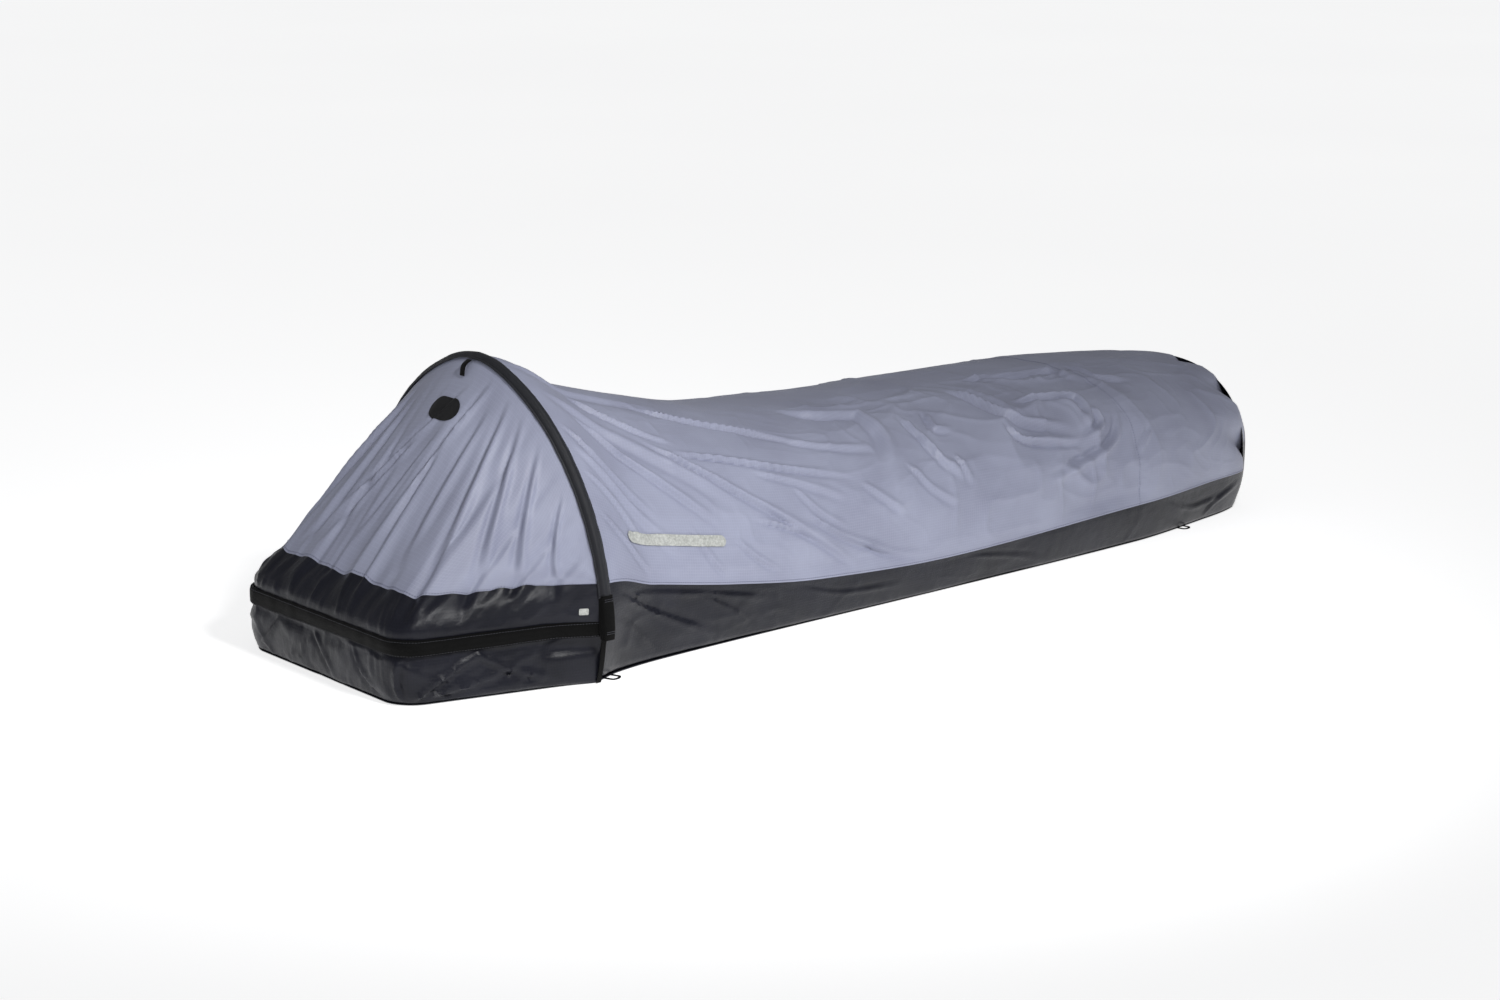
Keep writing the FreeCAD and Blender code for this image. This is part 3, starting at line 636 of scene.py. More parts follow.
def build_floor():
    """The floor, a little crumpled, from the head's front to the foot."""
    front = HOOP_X - HEAD_LENGTH + WALL_INSET
    corner = front + CORNER_RADIUS * (1 - np.cos(np.linspace(0, math.pi / 2, 14)))
    x = np.concatenate([corner + 0.0002, np.linspace(front + 0.07, HOOP_X + SHELL_END - 0.001, 170)])
    s = np.linspace(-1, 1, 61)
    half = floor_half(x) - 0.002
    flat = np.stack([x[:, None] + 0 * s, half[:, None] * s, np.full((len(x), len(s)), 0.0022)], -1)
    u, v = flat[..., 0], flat[..., 1]
    rise = 0.0016 * np.maximum(0, crinkles(u, v, 0.11, 5)) * (1 - np.abs(s) ** 6)
    grid = flat.copy()
    grid[..., 2] = flat[..., 2] + rise
    piece = cloth("floor_sheet", grid, np.stack([u, v], -1), 0.0012, TUB, out=False)
    finish_piece(piece, "sack", ["floor_panel"])


# how far inside the hoop's legs the cloth behind them meets them, and how far back it is
# drawn out to do so
LEG_INSET, LEG_PULL = 0.0045, 0.13
FLOOR_GAP = 0.0005


def side_grid(d_list, side, levels):
    """The tub's side from the floor to its seam, drawn out to the hoop's leg."""
    leg = np.abs(hoop_point(np.array([SEAM_RUN]), inset=LEG_INSET)[0])
    rows = []
    for d in d_list:
        s = station(d)
        pull = float(1 - smooth(0.0, LEG_PULL, d))
        top = s[SEAM] + (leg[2] - s[SEAM]) * pull
        seam_y = half_width(s, np.array([s[SEAM]]))[0]
        z = FLOOR_GAP + levels * (top - FLOOR_GAP)
        reach = seam_y + (leg[1] - seam_y) * pull - half_width(s, np.array([top]))[0]
        y = half_width(s, z) + reach * smooth(0.35, 1.0, levels)
        tuck = 0.010 * (1 - smooth(0.0, 0.10, levels)) ** 2
        rows.append(np.stack([np.full_like(z, HOOP_X + d), side * (y - tuck), z], -1))
    return np.array(rows)


TUB_CREASES = (
    # (distance behind the hoop, height) of a line, width, height of the crest
    (((0.01, 0.158), (0.12, 0.095), (0.30, 0.012)), 0.0060, 0.0050),
    (((0.00, 0.120), (0.07, 0.080), (0.15, 0.010)), 0.0050, 0.0040),
    (((0.03, 0.140), (0.20, 0.110), (0.42, 0.060)), 0.0055, 0.0034),
    (((0.22, 0.105), (0.32, 0.050), (0.36, 0.008)), 0.0050, 0.0030),
    (((0.45, 0.075), (0.56, 0.045), (0.72, 0.035)), 0.0050, 0.0022),
    (((0.86, 0.060), (1.00, 0.035), (1.08, 0.010)), 0.0055, 0.0022),
    (((1.42, 0.070), (1.52, 0.040), (1.66, 0.045)), 0.0060, 0.0028),
    (((1.56, 0.010), (1.60, 0.035), (1.70, 0.060)), 0.0060, 0.0026),
)


def tub_folds(u, v, side):
    """How far the tub's side stands out, from distance and height."""
    near = 0.35 + 0.65 * (1 - smooth(0.25, 0.8, u))
    h = 0.0020 * crinkles(u * 0.8, v * 1.1, 0.055, 20 + side) * near
    h = h + 0.0018 * noise(u / 0.16, v / 0.09, 31 + side)
    shift = 0.0 if side < 0 else 0.03
    for points, width, height in TUB_CREASES:
        h = h + crease(u - shift, v, points, width, height)
    return h


# the blend of sack and hoop given for the tub's sides, the hoop's share most at the top beside it
# and none on the floor; finish_piece only bakes a blended piece's transform
TUB_BLEND = ("sack", "hoop", (HOOP_X, 0, 0.0), (HOOP_X - 0.037, 0, 0.158))


def build_tub_sides():
    """The tub's two sides, from the hoop to the foot."""
    d_list = np.concatenate([np.linspace(0.0015, 0.30, 60), np.linspace(0.30, SHELL_END, 210)[1:]])
    levels = np.linspace(0, 1, 25) ** 0.85
    for name, side in (("right", -1), ("left", 1)):
        flat = side_grid(d_list, side, levels)
        uv = np.stack([flat[..., 0] - HOOP_X, flat[..., 2]], -1)
        h = tub_folds(uv[..., 0], uv[..., 1], side)
        still = (smooth(0.0, 0.16, levels) * (1 - smooth(0.86, 1.0, levels)))[None]
        ends = smooth(0.0, 0.09, d_list) * (1 - smooth(SHELL_END - 0.03, SHELL_END, d_list))
        n = grid_normals(flat)
        n = n * np.sign((n * (flat * (0, 1, 0))).sum(axis=2, keepdims=True))
        grid = flat + n * (h * still * ends[:, None])[..., None]
        grid[..., 2] = np.maximum(grid[..., 2], 0.0004)
        piece = cloth("tub_side_cloth_" + name, grid, uv, THIN, TUB)
        finish_piece(piece, None, ["tub_side_" + name], TUB_BLEND)


def band(levels, start=0.0):
    """Rows of plan points from (height, inset, lean, flare) levels."""
    rows = []
    for z, inset, lean, flare in levels:
        p = flared(head_plan(inset, lean, start), flare)
        rows.append(np.concatenate([p, np.full((len(p), 1), z)], 1))
    return np.array(rows)


def refine(levels, count):
    """More levels between a few, on smooth curves."""
    levels = np.array(levels, float)
    t = np.linspace(0, 1, len(levels))
    at = np.linspace(0, 1, count)
    return np.stack([through(t, levels[:, k], at) for k in range(levels.shape[1])], -1)


def outward(grid):
    """Unit normals of a head band, away from the head's middle."""
    n = grid_normals(grid)
    away = grid - np.array([HOOP_X - 0.10, 0, 0.06])
    return n * np.sign((n * away).sum(axis=2, keepdims=True))


HEAD_CREASES = (
    # (length along the band from the middle of the front, height), width, height
    (((-0.235, 0.004), (-0.30, 0.045), (-0.37, 0.080)), 0.0060, 0.0058),
    (((-0.225, 0.004), (-0.215, 0.045), (-0.225, 0.082)), 0.0050, 0.0046),
    (((-0.245, 0.010), (-0.36, 0.030), (-0.47, 0.070)), 0.0060, 0.0040),
    (((-0.34, 0.080), (-0.40, 0.045), (-0.50, 0.012)), 0.0050, 0.0036),
    (((-0.10, 0.082), (-0.13, 0.040), (-0.19, 0.010)), 0.0050, 0.0036),
    (((0.02, 0.080), (-0.02, 0.040), (-0.05, 0.006)), 0.0055, 0.0036),
    (((0.12, 0.078), (0.15, 0.040), (0.20, 0.006)), 0.0050, 0.0036),
    (((0.235, 0.004), (0.28, 0.045), (0.33, 0.080)), 0.0060, 0.0050),
    (((0.25, 0.010), (0.36, 0.030), (0.45, 0.070)), 0.0060, 0.0036),
)


def build_tub_head():
    """The tub's wall round the head, in (height, inset, lean, flare) levels up to the zip."""
    levels = refine([
        (0.0006, 0.016, 0, 0.010), (0.006, 0.0080, 0, 0.004), (0.030, 0.0035, 0, 0.002),
        (0.058, 0.0030, 0, 0.004), (0.076, 0.0060, 0, 0.012), (0.0855, 0.0082, 0, 0.020),
    ], 24)
    flat = band(levels)
    uv = metric(flat)
    u = uv[..., 1]
    z = flat[..., 2]
    h = 0.0030 * crinkles(u, z * 1.2, 0.050, 61) + 0.0022 * noise(u / 0.10, z / 0.05, 66)
    for points, width, height in HEAD_CREASES:
        h = h + crease(u, z, points, width, height)
    ahead = HOOP_X - flat[..., 0]
    still = smooth(0.0, 0.012, z) * (1 - smooth(0.074, 0.0855, z)) * smooth(0.01, 0.11, ahead)
    # beside the hoop the wall stands back, for the sliders' pulls
    room = smooth(0.0, 0.010, ahead) * (1 - smooth(0.070, 0.110, ahead)) * smooth(0.048, 0.062, z)
    grid = flat + outward(flat) * (h * still - 0.0075 * room)[..., None]
    piece = cloth("tub_wall", grid, np.stack([u, z], -1), THIN, TUB)
    finish_piece(piece, "sack", ["tub_head"])


build_floor()
build_tub_sides()
build_tub_head()

# ---------------------------------------------------------------------------------------
# Upper shell
# ---------------------------------------------------------------------------------------

ARCH_COUNT = 261
CANOPY_ROWS = np.linspace(0.004, CANOPY_END, 149)


def arch(d):
    """One row of the shell at a distance behind the hoop, even along its length, and the
    length of each point from the ridge."""
    s = station(d)
    t = 1 - (1 - np.linspace(0, 1, 500)) ** 3
    z = s[SEAM] + (s[RIDGE] - s[SEAM]) * t
    y = half_width(s, z)
    half = np.stack([y, z], -1)
    run = lengths(half)
    side = along_path(np.linspace(0, run[-1], ARCH_COUNT // 2 + 1), run, half)
    row = np.concatenate([side * (-1, 1), side[::-1][1:]])
    return row, np.linspace(-run[-1], run[-1], ARCH_COUNT)


def shell_grid(d_list):
    """The shell's unfolded surface, with (distance, length from the ridge) for each point."""
    share = np.linspace(-1, 1, ARCH_COUNT)
    leg = hoop_point(share * SEAM_RUN, inset=LEG_INSET * smooth(0.6, 1.0, np.abs(share)))
    grid, uv = [], []
    for d in d_list:
        row, v = arch(d)
        pull = float(1 - smooth(0.0, LEG_PULL, d))
        yz = row + (leg[:, 1:] - row) * pull
        grid.append(np.concatenate([np.full((ARCH_COUNT, 1), HOOP_X + d), yz], 1))
        uv.append(np.stack([np.full(ARCH_COUNT, d), v], -1))
    return np.array(grid), np.array(uv)


# (distance behind the hoop, length down from the ridge) of a line on the sleeper's right,
# width, height of its crest.  The left side has the same ones, moved a little.
SHELL_CREASES = (
    # sharp, pinched folds that run back and down from the hoop
    (((0.10, 0.09), (0.15, 0.14), (0.21, 0.18), (0.27, 0.205)), 0.0048, 0.0056),
    (((0.23, 0.22), (0.34, 0.235), (0.46, 0.255), (0.63, 0.295)), 0.0050, 0.0060),
    (((0.23, 0.07), (0.31, 0.12), (0.44, 0.155), (0.57, 0.215)), 0.0052, 0.0066),
    (((0.06, 0.16), (0.14, 0.24), (0.22, 0.305), (0.30, 0.365)), 0.0060, 0.0060),
    (((0.18, 0.19), (0.345, 0.30), (0.455, 0.36), (0.53, 0.40), (0.57, 0.435)), 0.0062, 0.0072),
    (((0.35, 0.345), (0.455, 0.37), (0.515, 0.40), (0.60, 0.455)), 0.0055, 0.0056),
    (((0.02, 0.20), (0.06, 0.25), (0.11, 0.30), (0.17, 0.36)), 0.0050, 0.0048),
    (((0.02, 0.29), (0.085, 0.35), (0.125, 0.405)), 0.0048, 0.0044),
    (((0.02, 0.36), (0.09, 0.41), (0.135, 0.445)), 0.0045, 0.0038),
    (((0.22, 0.36), (0.255, 0.41), (0.30, 0.455)), 0.0046, 0.0036),
    (((0.31, 0.38), (0.36, 0.415), (0.415, 0.44)), 0.0046, 0.0040),
    (((0.385, 0.26), (0.46, 0.28), (0.59, 0.33)), 0.0060, 0.0046),
    (((0.47, 0.34), (0.57, 0.395), (0.685, 0.435)), 0.0060, 0.0056),
    (((0.46, 0.29), (0.505, 0.34), (0.58, 0.385)), 0.0055, 0.0042),
    (((0.61, 0.30), (0.665, 0.34), (0.71, 0.37)), 0.0060, 0.0050),
    (((0.50, 0.19), (0.62, 0.225), (0.70, 0.235)), 0.0070, 0.0046),
    (((0.59, 0.40), (0.67, 0.435), (0.76, 0.45)), 0.0055, 0.0040),
    # broad folds between them
    (((0.01, 0.04), (0.16, 0.07), (0.34, 0.08)), 0.0110, 0.0040),
    (((0.03, 0.12), (0.20, 0.23), (0.36, 0.33)), 0.0120, 0.0050),
    (((0.02, 0.24), (0.13, 0.35), (0.22, 0.43)), 0.0090, 0.0040),
    # the edge of the raised part over the body
    (((0.58, 0.06), (0.64, 0.11), (0.73, 0.135), (0.73, 0.20), (0.70, 0.27), (0.66, 0.305)),
     0.0130, 0.0080),
    (((0.73, 0.275), (0.78, 0.335), (0.84, 0.37)), 0.0060, 0.0052),
    (((0.80, 0.16), (0.815, 0.27), (0.87, 0.335)), 0.0070, 0.0066),
    (((0.85, 0.275), (0.86, 0.30), (0.875, 0.345)), 0.0055, 0.0044),
    (((0.87, 0.16), (0.855, 0.21), (0.90, 0.215)), 0.0070, 0.0060),
    # crumples over the legs
    (((0.99, 0.08), (1.01, 0.14), (1.03, 0.20), (1.06, 0.23), (1.18, 0.26)), 0.0085, 0.0105),
    (((1.01, 0.22), (1.02, 0.265), (1.12, 0.285), (1.19, 0.29)), 0.0070, 0.0080),
    (((1.06, 0.035), (1.16, 0.04), (1.30, 0.055), (1.31, 0.11), (1.33, 0.145)), 0.0080, 0.0080),
    (((1.08, 0.17), (1.15, 0.175), (1.24, 0.19), (1.235, 0.235), (1.18, 0.27)), 0.0080, 0.0090),
    (((1.25, 0.22), (1.25, 0.26), (1.18, 0.30)), 0.0070, 0.0080),
    (((1.31, 0.24), (1.27, 0.30), (1.165, 0.34), (1.05, 0.365)), 0.0085, 0.0080),
    (((1.35, 0.05), (1.35, 0.125), (1.44, 0.155)), 0.0070, 0.0056),
    (((1.37, 0.29), (1.34, 0.32), (1.325, 0.335)), 0.0055, 0.0040),
)
FOOT_LOBES, LOBE_SPAN = 7, 0.80


def foot_lobe(v):
    """The foot's edge drawn in between its gathers, 0 to 1, at a length from the ridge."""
    return (0.5 - 0.5 * np.cos(v * FOOT_LOBES * 2 * math.pi / LOBE_SPAN)) ** 2


def shell_folds(u, v):
    """How far the shell stands out at a distance behind the hoop and a length from the
    ridge; v is less than 0 on the right."""
    h = np.zeros(u.shape)
    for points, width, height in SHELL_CREASES:
        h = h + crease(u, -v, points, width, height)
        moved = [(a * 0.94 + 0.02, b * 1.04 + 0.012) for a, b in points]
        h = h + crease(u, v, moved, width, height * 0.9, valley=0.6)
    body = smooth(0.45, 0.85, u) * (1 - smooth(1.28, 1.50, u))
    low = 1 - 0.6 * smooth(0.33, 0.45, np.abs(v))
    h = h + 0.0085 * body * crinkles(u * 0.9, v, 0.13, 81, 1.6) * low
    h = h + 0.0060 * body * noise(u / 0.20, v / 0.11, 88)
    h = h + 0.0020 * crinkles(u * 0.6, v, 0.06, 92) * smooth(0.02, 0.3, u)
    h = h + 0.0036 * noise(u / 0.26, v / 0.15, 95) * smooth(0.05, 0.3, u)
    h = h * (1 - 0.85 * smooth(-0.06, -0.01, v) * (1 - smooth(0.12, 0.24, v)))
    h = h - 0.0045 * smooth(1.56, SHELL_END, u) * foot_lobe(v)
    seam = np.exp(-np.abs(u - FOOT_SEAM) / 0.010)
    return h - 0.0014 * seam * (1 + 0.7 * np.sin(v / 0.0135))


def shell_surface(d_list, proud=0.0):
    """The folded shell at these distances."""
    flat, uv = shell_grid(d_list)
    u, v = uv[..., 0], uv[..., 1]
    n = outward_shell(flat)
    top = np.abs(v).max(axis=1, keepdims=True)
    edge = 1 - smooth(0.0, 0.030, top - np.abs(v))
    h = shell_folds(u, v) * (1 - edge) * smooth(0.0, 0.035, u)
    h = h + 0.0006 * (1 - smooth(0.007, 0.009, top - np.abs(v)))
    return flat + n * (h + proud)[..., None], flat, uv


def outward_shell(grid):
    """Unit normals of the shell behind the hoop, away from the sack's middle line."""
    n = grid_normals(grid)
    away = grid * (0, 1, 1) - np.array([0, 0, 0.10])
    return n * np.sign((n * away).sum(axis=2, keepdims=True))


CANOPY_BLEND = ("sack", "hoop", (HOOP_X + 0.45, 0, 0.3), (HOOP_X, 0, 0.3))


def build_shell():
    """The pale shell behind the hoop, in three pieces with a row of thread on each edge."""
    spans = (
        ("canopy_cloth", "shoulder_canopy", CANOPY_ROWS),
        ("torso_cloth", "torso_shell", np.linspace(CANOPY_END, FOOT_SEAM, 179)),
        ("foot_cloth", "foot_shell", np.linspace(FOOT_SEAM, SHELL_END, 111)),
    )
    for name, node, d_list in spans:
        grid, flat, uv = shell_surface(d_list)
        if node == "foot_shell":
            share = (uv[..., 0] - FOOT_SEAM) / (SHELL_END - FOOT_SEAM)
            grid[..., 0] -= 0.030 * foot_lobe(uv[..., 1]) * share**4
        piece = cloth(name, grid, uv, THIN, SHELL)
        blend = CANOPY_BLEND if node == "shoulder_canopy" else None
        finish_piece(piece, "sack", [node], blend)
        n = outward_shell(grid)
        sew(name + "_stitch_right", grid[:, 1], n[:, 1], "sack", blend)
        sew(name + "_stitch_left", grid[:, -2], n[:, -2], "sack", blend)
        if node == "foot_shell":
            sew(name + "_stitch_seam", grid[1], n[1], "sack", None)


def sew(name, path, normals, body, blend):
    """A row of thread in the shell's colour, on the shell's side of a seam."""
    sewn = stitches(name, path + normals * 0.0004, normals, PALE_THREAD)
    finish_piece(sewn, body, (), blend)


build_shell()


def build_foot_cap():
    """The dark end panel: it wraps the corner under the shell's rim and closes the foot."""
    rows = []
    # (distance back from the shell's end, share of the section's size)
    profile = [(-0.034, 0.0), (-0.015, 0.0), (-0.004, 0.0), (0.004, 0.004), (0.009, 0.016)]
    profile += [(0.0115, 0.05), (0.012, 0.14), (0.012, 0.40), (0.012, 0.70), (0.012, 0.97)]
    levels = np.linspace(0, 1, 60)
    for back, shrink in profile:
        s = station(min(SHELL_END, SHELL_END + back))
        z = 0.001 + (s[RIDGE] - 0.001) * (1 - (1 - levels) ** 2.2)
        y = half_width(s, z)
        ring = np.concatenate([np.stack([-y, z], -1), np.stack([y, z], -1)[::-1][1:]])
        centre = np.array([0, 0.001])
        ring = centre + (ring - centre) * (1 - shrink)
        if shrink == 0:
            size = np.linalg.norm(ring - centre, axis=1, keepdims=True)
            ring = ring - (ring - centre) / size * 0.0014
        x = np.full((len(ring), 1), HOOP_X + SHELL_END + back)
        rows.append(np.concatenate([x, ring], 1))
    flat = np.array(rows)
    dense = []
    t = np.concatenate([[0], np.cumsum(np.linalg.norm(np.diff(flat, axis=0), axis=2).mean(axis=1))])
    spread = np.linspace(0, t[-1], 46)
    for at in spread:
        k = min(int(np.searchsorted(t, at, side="right")) - 1, len(t) - 2)
        share = (at - t[k]) / (t[k + 1] - t[k])
        dense.append(flat[k] + (flat[k + 1] - flat[k]) * share)
    dense = np.array(dense)
    angle = np.linspace(0, 1, dense.shape[1])
    wave = 0.0022 * np.sin(angle * 2 * math.pi * FOOT_LOBES)[None]
    wave = wave * smooth(0.02, 0.07, spread)[:, None]
    dense[..., 0] += wave * (1 - np.linspace(0, 1, len(spread))[:, None] ** 2)
    dense[..., 0] = np.minimum(dense[..., 0], cad_box[1][0] + 0.004)
    piece = cloth("foot_cap", dense, metric(dense), THIN, TUB, out=False)
    finish_piece(piece, "sack", ["foot_end_panel"])


build_foot_cap()

# ---------------------------------------------------------------------------------------
# Door: hem, storm flap and panel; the insect mesh inside it
# ---------------------------------------------------------------------------------------

DOOR_BLEND = ("hoop", "door", (HOOP_X, 0, 0.2), (HOOP_X - 0.25, 0, 0.2))
HEAD_CENTRE = np.array([HOOP_X + 0.02, 0, 0.11])
DOOR_ROWS = 95
DOOR_REACH, DOOR_DROP = 0.50, 0.42  # half the panel's length round the hem, and its height

# Folds of the door's panel on the sleeper's right: share of the way round from the front
# at the hoop and at the hem, how far down they begin and end, width and height of the crest
DOOR_FOLDS = (
    (0.62, 0.90, 0.10, 0.98, 0.0080, 0.0050),
    (0.44, 0.77, 0.05, 0.98, 0.0090, 0.0062),
    (0.33, 0.62, 0.03, 0.98, 0.0095, 0.0072),
    (0.25, 0.43, 0.03, 0.99, 0.0105, 0.0084),
    (0.20, 0.27, 0.12, 0.92, 0.0095, 0.0060),
    (0.16, 0.06, 0.02, 0.98, 0.0085, 0.0078),
    (0.13, 0.14, 0.30, 1.00, 0.0060, 0.0040),
    (0.12, -0.05, 0.30, 1.00, 0.0060, 0.0040),
    (0.12, -0.29, 0.10, 0.98, 0.0075, 0.0056),
    (0.10, -0.20, 0.30, 0.98, 0.0060, 0.0044),
)


def door_folds(around, down, slack):
    """How far the door's panel stands out; around is the share of the way from the front,
    less than 0 on the right, and down is 0 at the hoop and 1 at the hem."""
    u, v = around * DOOR_REACH, down * DOOR_DROP
    h = np.zeros(u.shape)
    for at_hoop, at_hem, begin, end, width, height in DOOR_FOLDS:
        ends = []
        for share in (begin, 0.5 * (begin + end), end):
            bend = 0.010 * math.sin(share * math.pi) * (1 if at_hem > 0.3 else -1)
            across = at_hoop + (at_hem - at_hoop) * share + bend
            ends.append((across * DOOR_REACH, share * DOOR_DROP))
        h = h + crease(-u, v, ends, width, height, valley=0.9, ends=(0.3, 0.03))
        if at_hem > 0.1:
            moved = [(a * 1.03 + 0.012, b) for a, b in ends]
            h = h + crease(u, v, moved, width, height * 0.9, valley=0.85, ends=(0.3, 0.03))
    h = h + slack * noise(u / 0.035, v / 0.26, 117) * smooth(0.15, 0.5, down)
    return h


def scallop(u):
    """How the gathered seam between hem and panel rises and falls, along its length."""
    wave = noise(u / 0.055, u * 0 + 3.3, 41) + 0.5 * noise(u / 0.021, u * 0 + 7.7, 43)
    return 0.0042 * wave * (1 - smooth(0.36, 0.50, np.abs(u)))


def build_hem():
    """The door's dark hem, gathered where it joins the panel."""
    levels = refine([
        (0.1030, 0.0085, 0, 0.0200), (0.1200, 0.0050, 0.0040, 0.0210),
        (0.1450, 0.0040, 0.0210, 0.0212), (0.1700, 0.0085, 0.0450, 0.0215),
    ], 18)
    flat = band(levels, 0.004)
    uv = metric(flat)
    u, z = uv[..., 1], flat[..., 2].copy()
    share = (z - z.min()) / (z.max() - z.min())
    h = 0.0022 * crinkles(u * 1.6, z, 0.060, 51) + 0.0016 * noise(u / 0.05, z / 0.09, 54)
    h = h + 0.0016 * np.cos(u / 0.0060 + 2.5 * noise(u / 0.08, z * 0, 57)) * share**2
    still = smooth(0.0, 0.25, share) * (0.4 + 0.6 * smooth(0, 0.05, HOOP_X - flat[..., 0]))
    around = np.linspace(-1, 1, PLAN_COUNT)[None] + 0 * share
    gathers = 0.85 * door_folds(around, 0.97 + 0 * share, 0.0010) * share**1.5
    grid = flat + outward(flat) * (h * still * (1 - 0.5 * share**4) + gathers)[..., None]
    grid[..., 2] += scallop(u) * share**2
    piece = cloth("hem_cloth", grid, np.stack([u, z], -1), THIN, TUB)
    finish_piece(piece, None, ["door_hem"], DOOR_BLEND)
    return grid


def build_flap():
    """The storm flap that covers the zip, with its two rows of thread."""
    levels = refine([
        (0.0825, 0.0030, 0, 0.0165), (0.0880, 0.0018, 0, 0.0165), (0.0980, 0.0014, 0, 0.0165),
        (0.1040, 0.0022, 0, 0.0168), (0.1085, 0.0056, 0.0010, 0.0175),
    ], 12)
    flat = band(levels, 0.004)
    uv = metric(flat)
    u, z = uv[..., 1], flat[..., 2].copy()
    low = 1 - smooth(0.0815, 0.100, z)
    h = 0.0012 * noise(u / 0.09, z * 0, 71) * low + 0.0006 * noise(u / 0.02, z * 20, 72)
    grid = flat + outward(flat) * h[..., None]
    grid[..., 2] += 0.0010 * noise(u / 0.12, z * 0, 73) * low
    piece = cloth("flap_cloth", grid, np.stack([u, z], -1), 0.0010, FLAP)
    finish_piece(piece, None, ["storm_flap"], DOOR_BLEND)
    n = outward(grid)
    for k, row in (("low", 1), ("high", 9)):
        sewn = stitches("flap_stitch_" + k, grid[row] + n[row] * 0.0003, n[row], THREAD)
        finish_piece(sewn, None, (), DOOR_BLEND)


def fan(base, top, rows, sag):
    """Straight rows from one edge to another, sagging towards the head's middle."""
    share = np.linspace(0, 1, rows)[:, None, None]
    straight = base[None] + (top - base)[None] * share
    pull = 4 * sag * share * (1 - share)
    return straight + unit(HEAD_CENTRE - straight) * pull


def build_door(hem_grid):
    """The door's panel, from the hem to the hoop."""
    top_run = np.linspace(-SEAM_RUN, SEAM_RUN, PLAN_COUNT)
    top = hoop_point(top_run, inset=-0.0005, ahead=0.006)
    base = hem_grid[-1]
    if base[0, 1] > 0:
        base = base[::-1]
    flat = fan(base, top, DOOR_ROWS, 0.0)
    uv = metric(flat)
    share = np.linspace(0, 1, DOOR_ROWS)[:, None]
    around = np.linspace(-1, 1, PLAN_COUNT)[None] + 0 * share
    hold = smooth(0.0, 0.35, share)
    n = grid_normals(flat)
    n = n * np.sign((n * (flat - HEAD_CENTRE)).sum(axis=2, keepdims=True))
    h = door_folds(around, 1 - share + 0 * around, 0.0016) * hold * smooth(0.0, 0.04, 1 - share)
    legs = smooth(0.004, 0.03, HOOP_X - flat[..., 0])
    grid = flat + n * (h * legs)[..., None]
    grid[0] = base
    piece = cloth("door_cloth", grid, uv, THIN, SHELL)
    finish_piece(piece, None, ["door_panel"], DOOR_BLEND)
    sew("door_stitch_hem", grid[1], n[1], None, DOOR_BLEND)
    return grid, n


NET_INSET, NET_START = 0.024, 0.040


def build_net():
    """The insect mesh inside the door, from its zip to the hoop."""
    plan = head_plan(NET_INSET, 0, NET_START)
    base = np.concatenate([plan, np.full((PLAN_COUNT, 1), 0.0952)], 1)
    if base[0, 1] > 0:
        base = base[::-1]
    runs = np.linspace(-1, 1, PLAN_COUNT) * (HALF_RUN - 0.160)
    top = hoop_point(runs, inset=NET_INSET, ahead=0.002)
    flat = fan(base, top, 40, 0.036)
    uv = metric(flat)
    n = grid_normals(flat)
    grid = flat + n * (0.0010 * noise(uv[..., 0] / 0.05, uv[..., 1] / 0.03, 131))[..., None]
    piece = cloth("net_cloth", grid, uv, 0.0004, NET)
    finish_piece(piece, "hoop", ["bug_mesh"])


hem_grid = build_hem()
build_flap()
door_grid, door_normals = build_door(hem_grid)
build_net()

# ---------------------------------------------------------------------------------------
# Zippers
# ---------------------------------------------------------------------------------------


ZIP_INSET = 0.0102
COIL_PITCH, COIL_STEPS = 0.0022, 7
COIL_DEPTH, COIL_HEIGHT, COIL_THREAD = 0.00075, 0.00095, 0.00036  # half-sizes
COIL_OFF, TAPE_OFF = 0.0013, (0.0022, 0.0089)  # from the zip's edge


def build_zip(label, inset, edge, direction, body, blend, start):
    """One half of a zip, above (1) or below (-1) its edge: a tape, and a coil of nylon that
    turns along it."""
    coil = edge + direction * COIL_OFF
    tape_low, tape_high = sorted(edge + direction * off for off in TAPE_OFF)
    levels = [(z, inset - 0.0004, 0, 0.0) for z in np.linspace(tape_low, tape_high, 5)]
    flat = band(levels, start)
    piece = cloth(label + "_tape_cloth", flat, metric(flat)[..., ::-1], 0.0007, ZIP_TAPE)
    finish_piece(piece, body, [label + "_tape"], blend)
    path = band([(coil, inset, 0, 0.0)], start)[0]
    run = lengths(path)
    turns = int(run[-1] / COIL_PITCH)
    at = np.linspace(0, turns * COIL_PITCH, turns * COIL_STEPS + 1)
    middle = along_path(at, run, path)
    go = unit(np.gradient(middle, axis=0) * (1, 1, 0))
    out = np.stack([go[:, 1], -go[:, 0], 0 * go[:, 0]], -1)
    turn = at / COIL_PITCH * 2 * math.pi
    up = np.array([0, 0, 1.0])
    helix = (middle + out * (COIL_DEPTH * np.cos(turn))[:, None]
             + up * (COIL_HEIGHT * np.sin(turn))[:, None])
    tangent = unit(np.gradient(helix, axis=0))
    side = unit(np.cross(tangent, out + up * 0.01))
    other = np.cross(tangent, side)
    quarter = np.arange(4) * math.pi / 2
    ring = [(COIL_THREAD * math.cos(a), COIL_THREAD * math.sin(a)) for a in quarter]
    piece = sweep(label + "_coil_thread", helix, (side, other), ring, ZIP_COIL)
    finish_piece(piece, body, [label + "_coil"], blend)


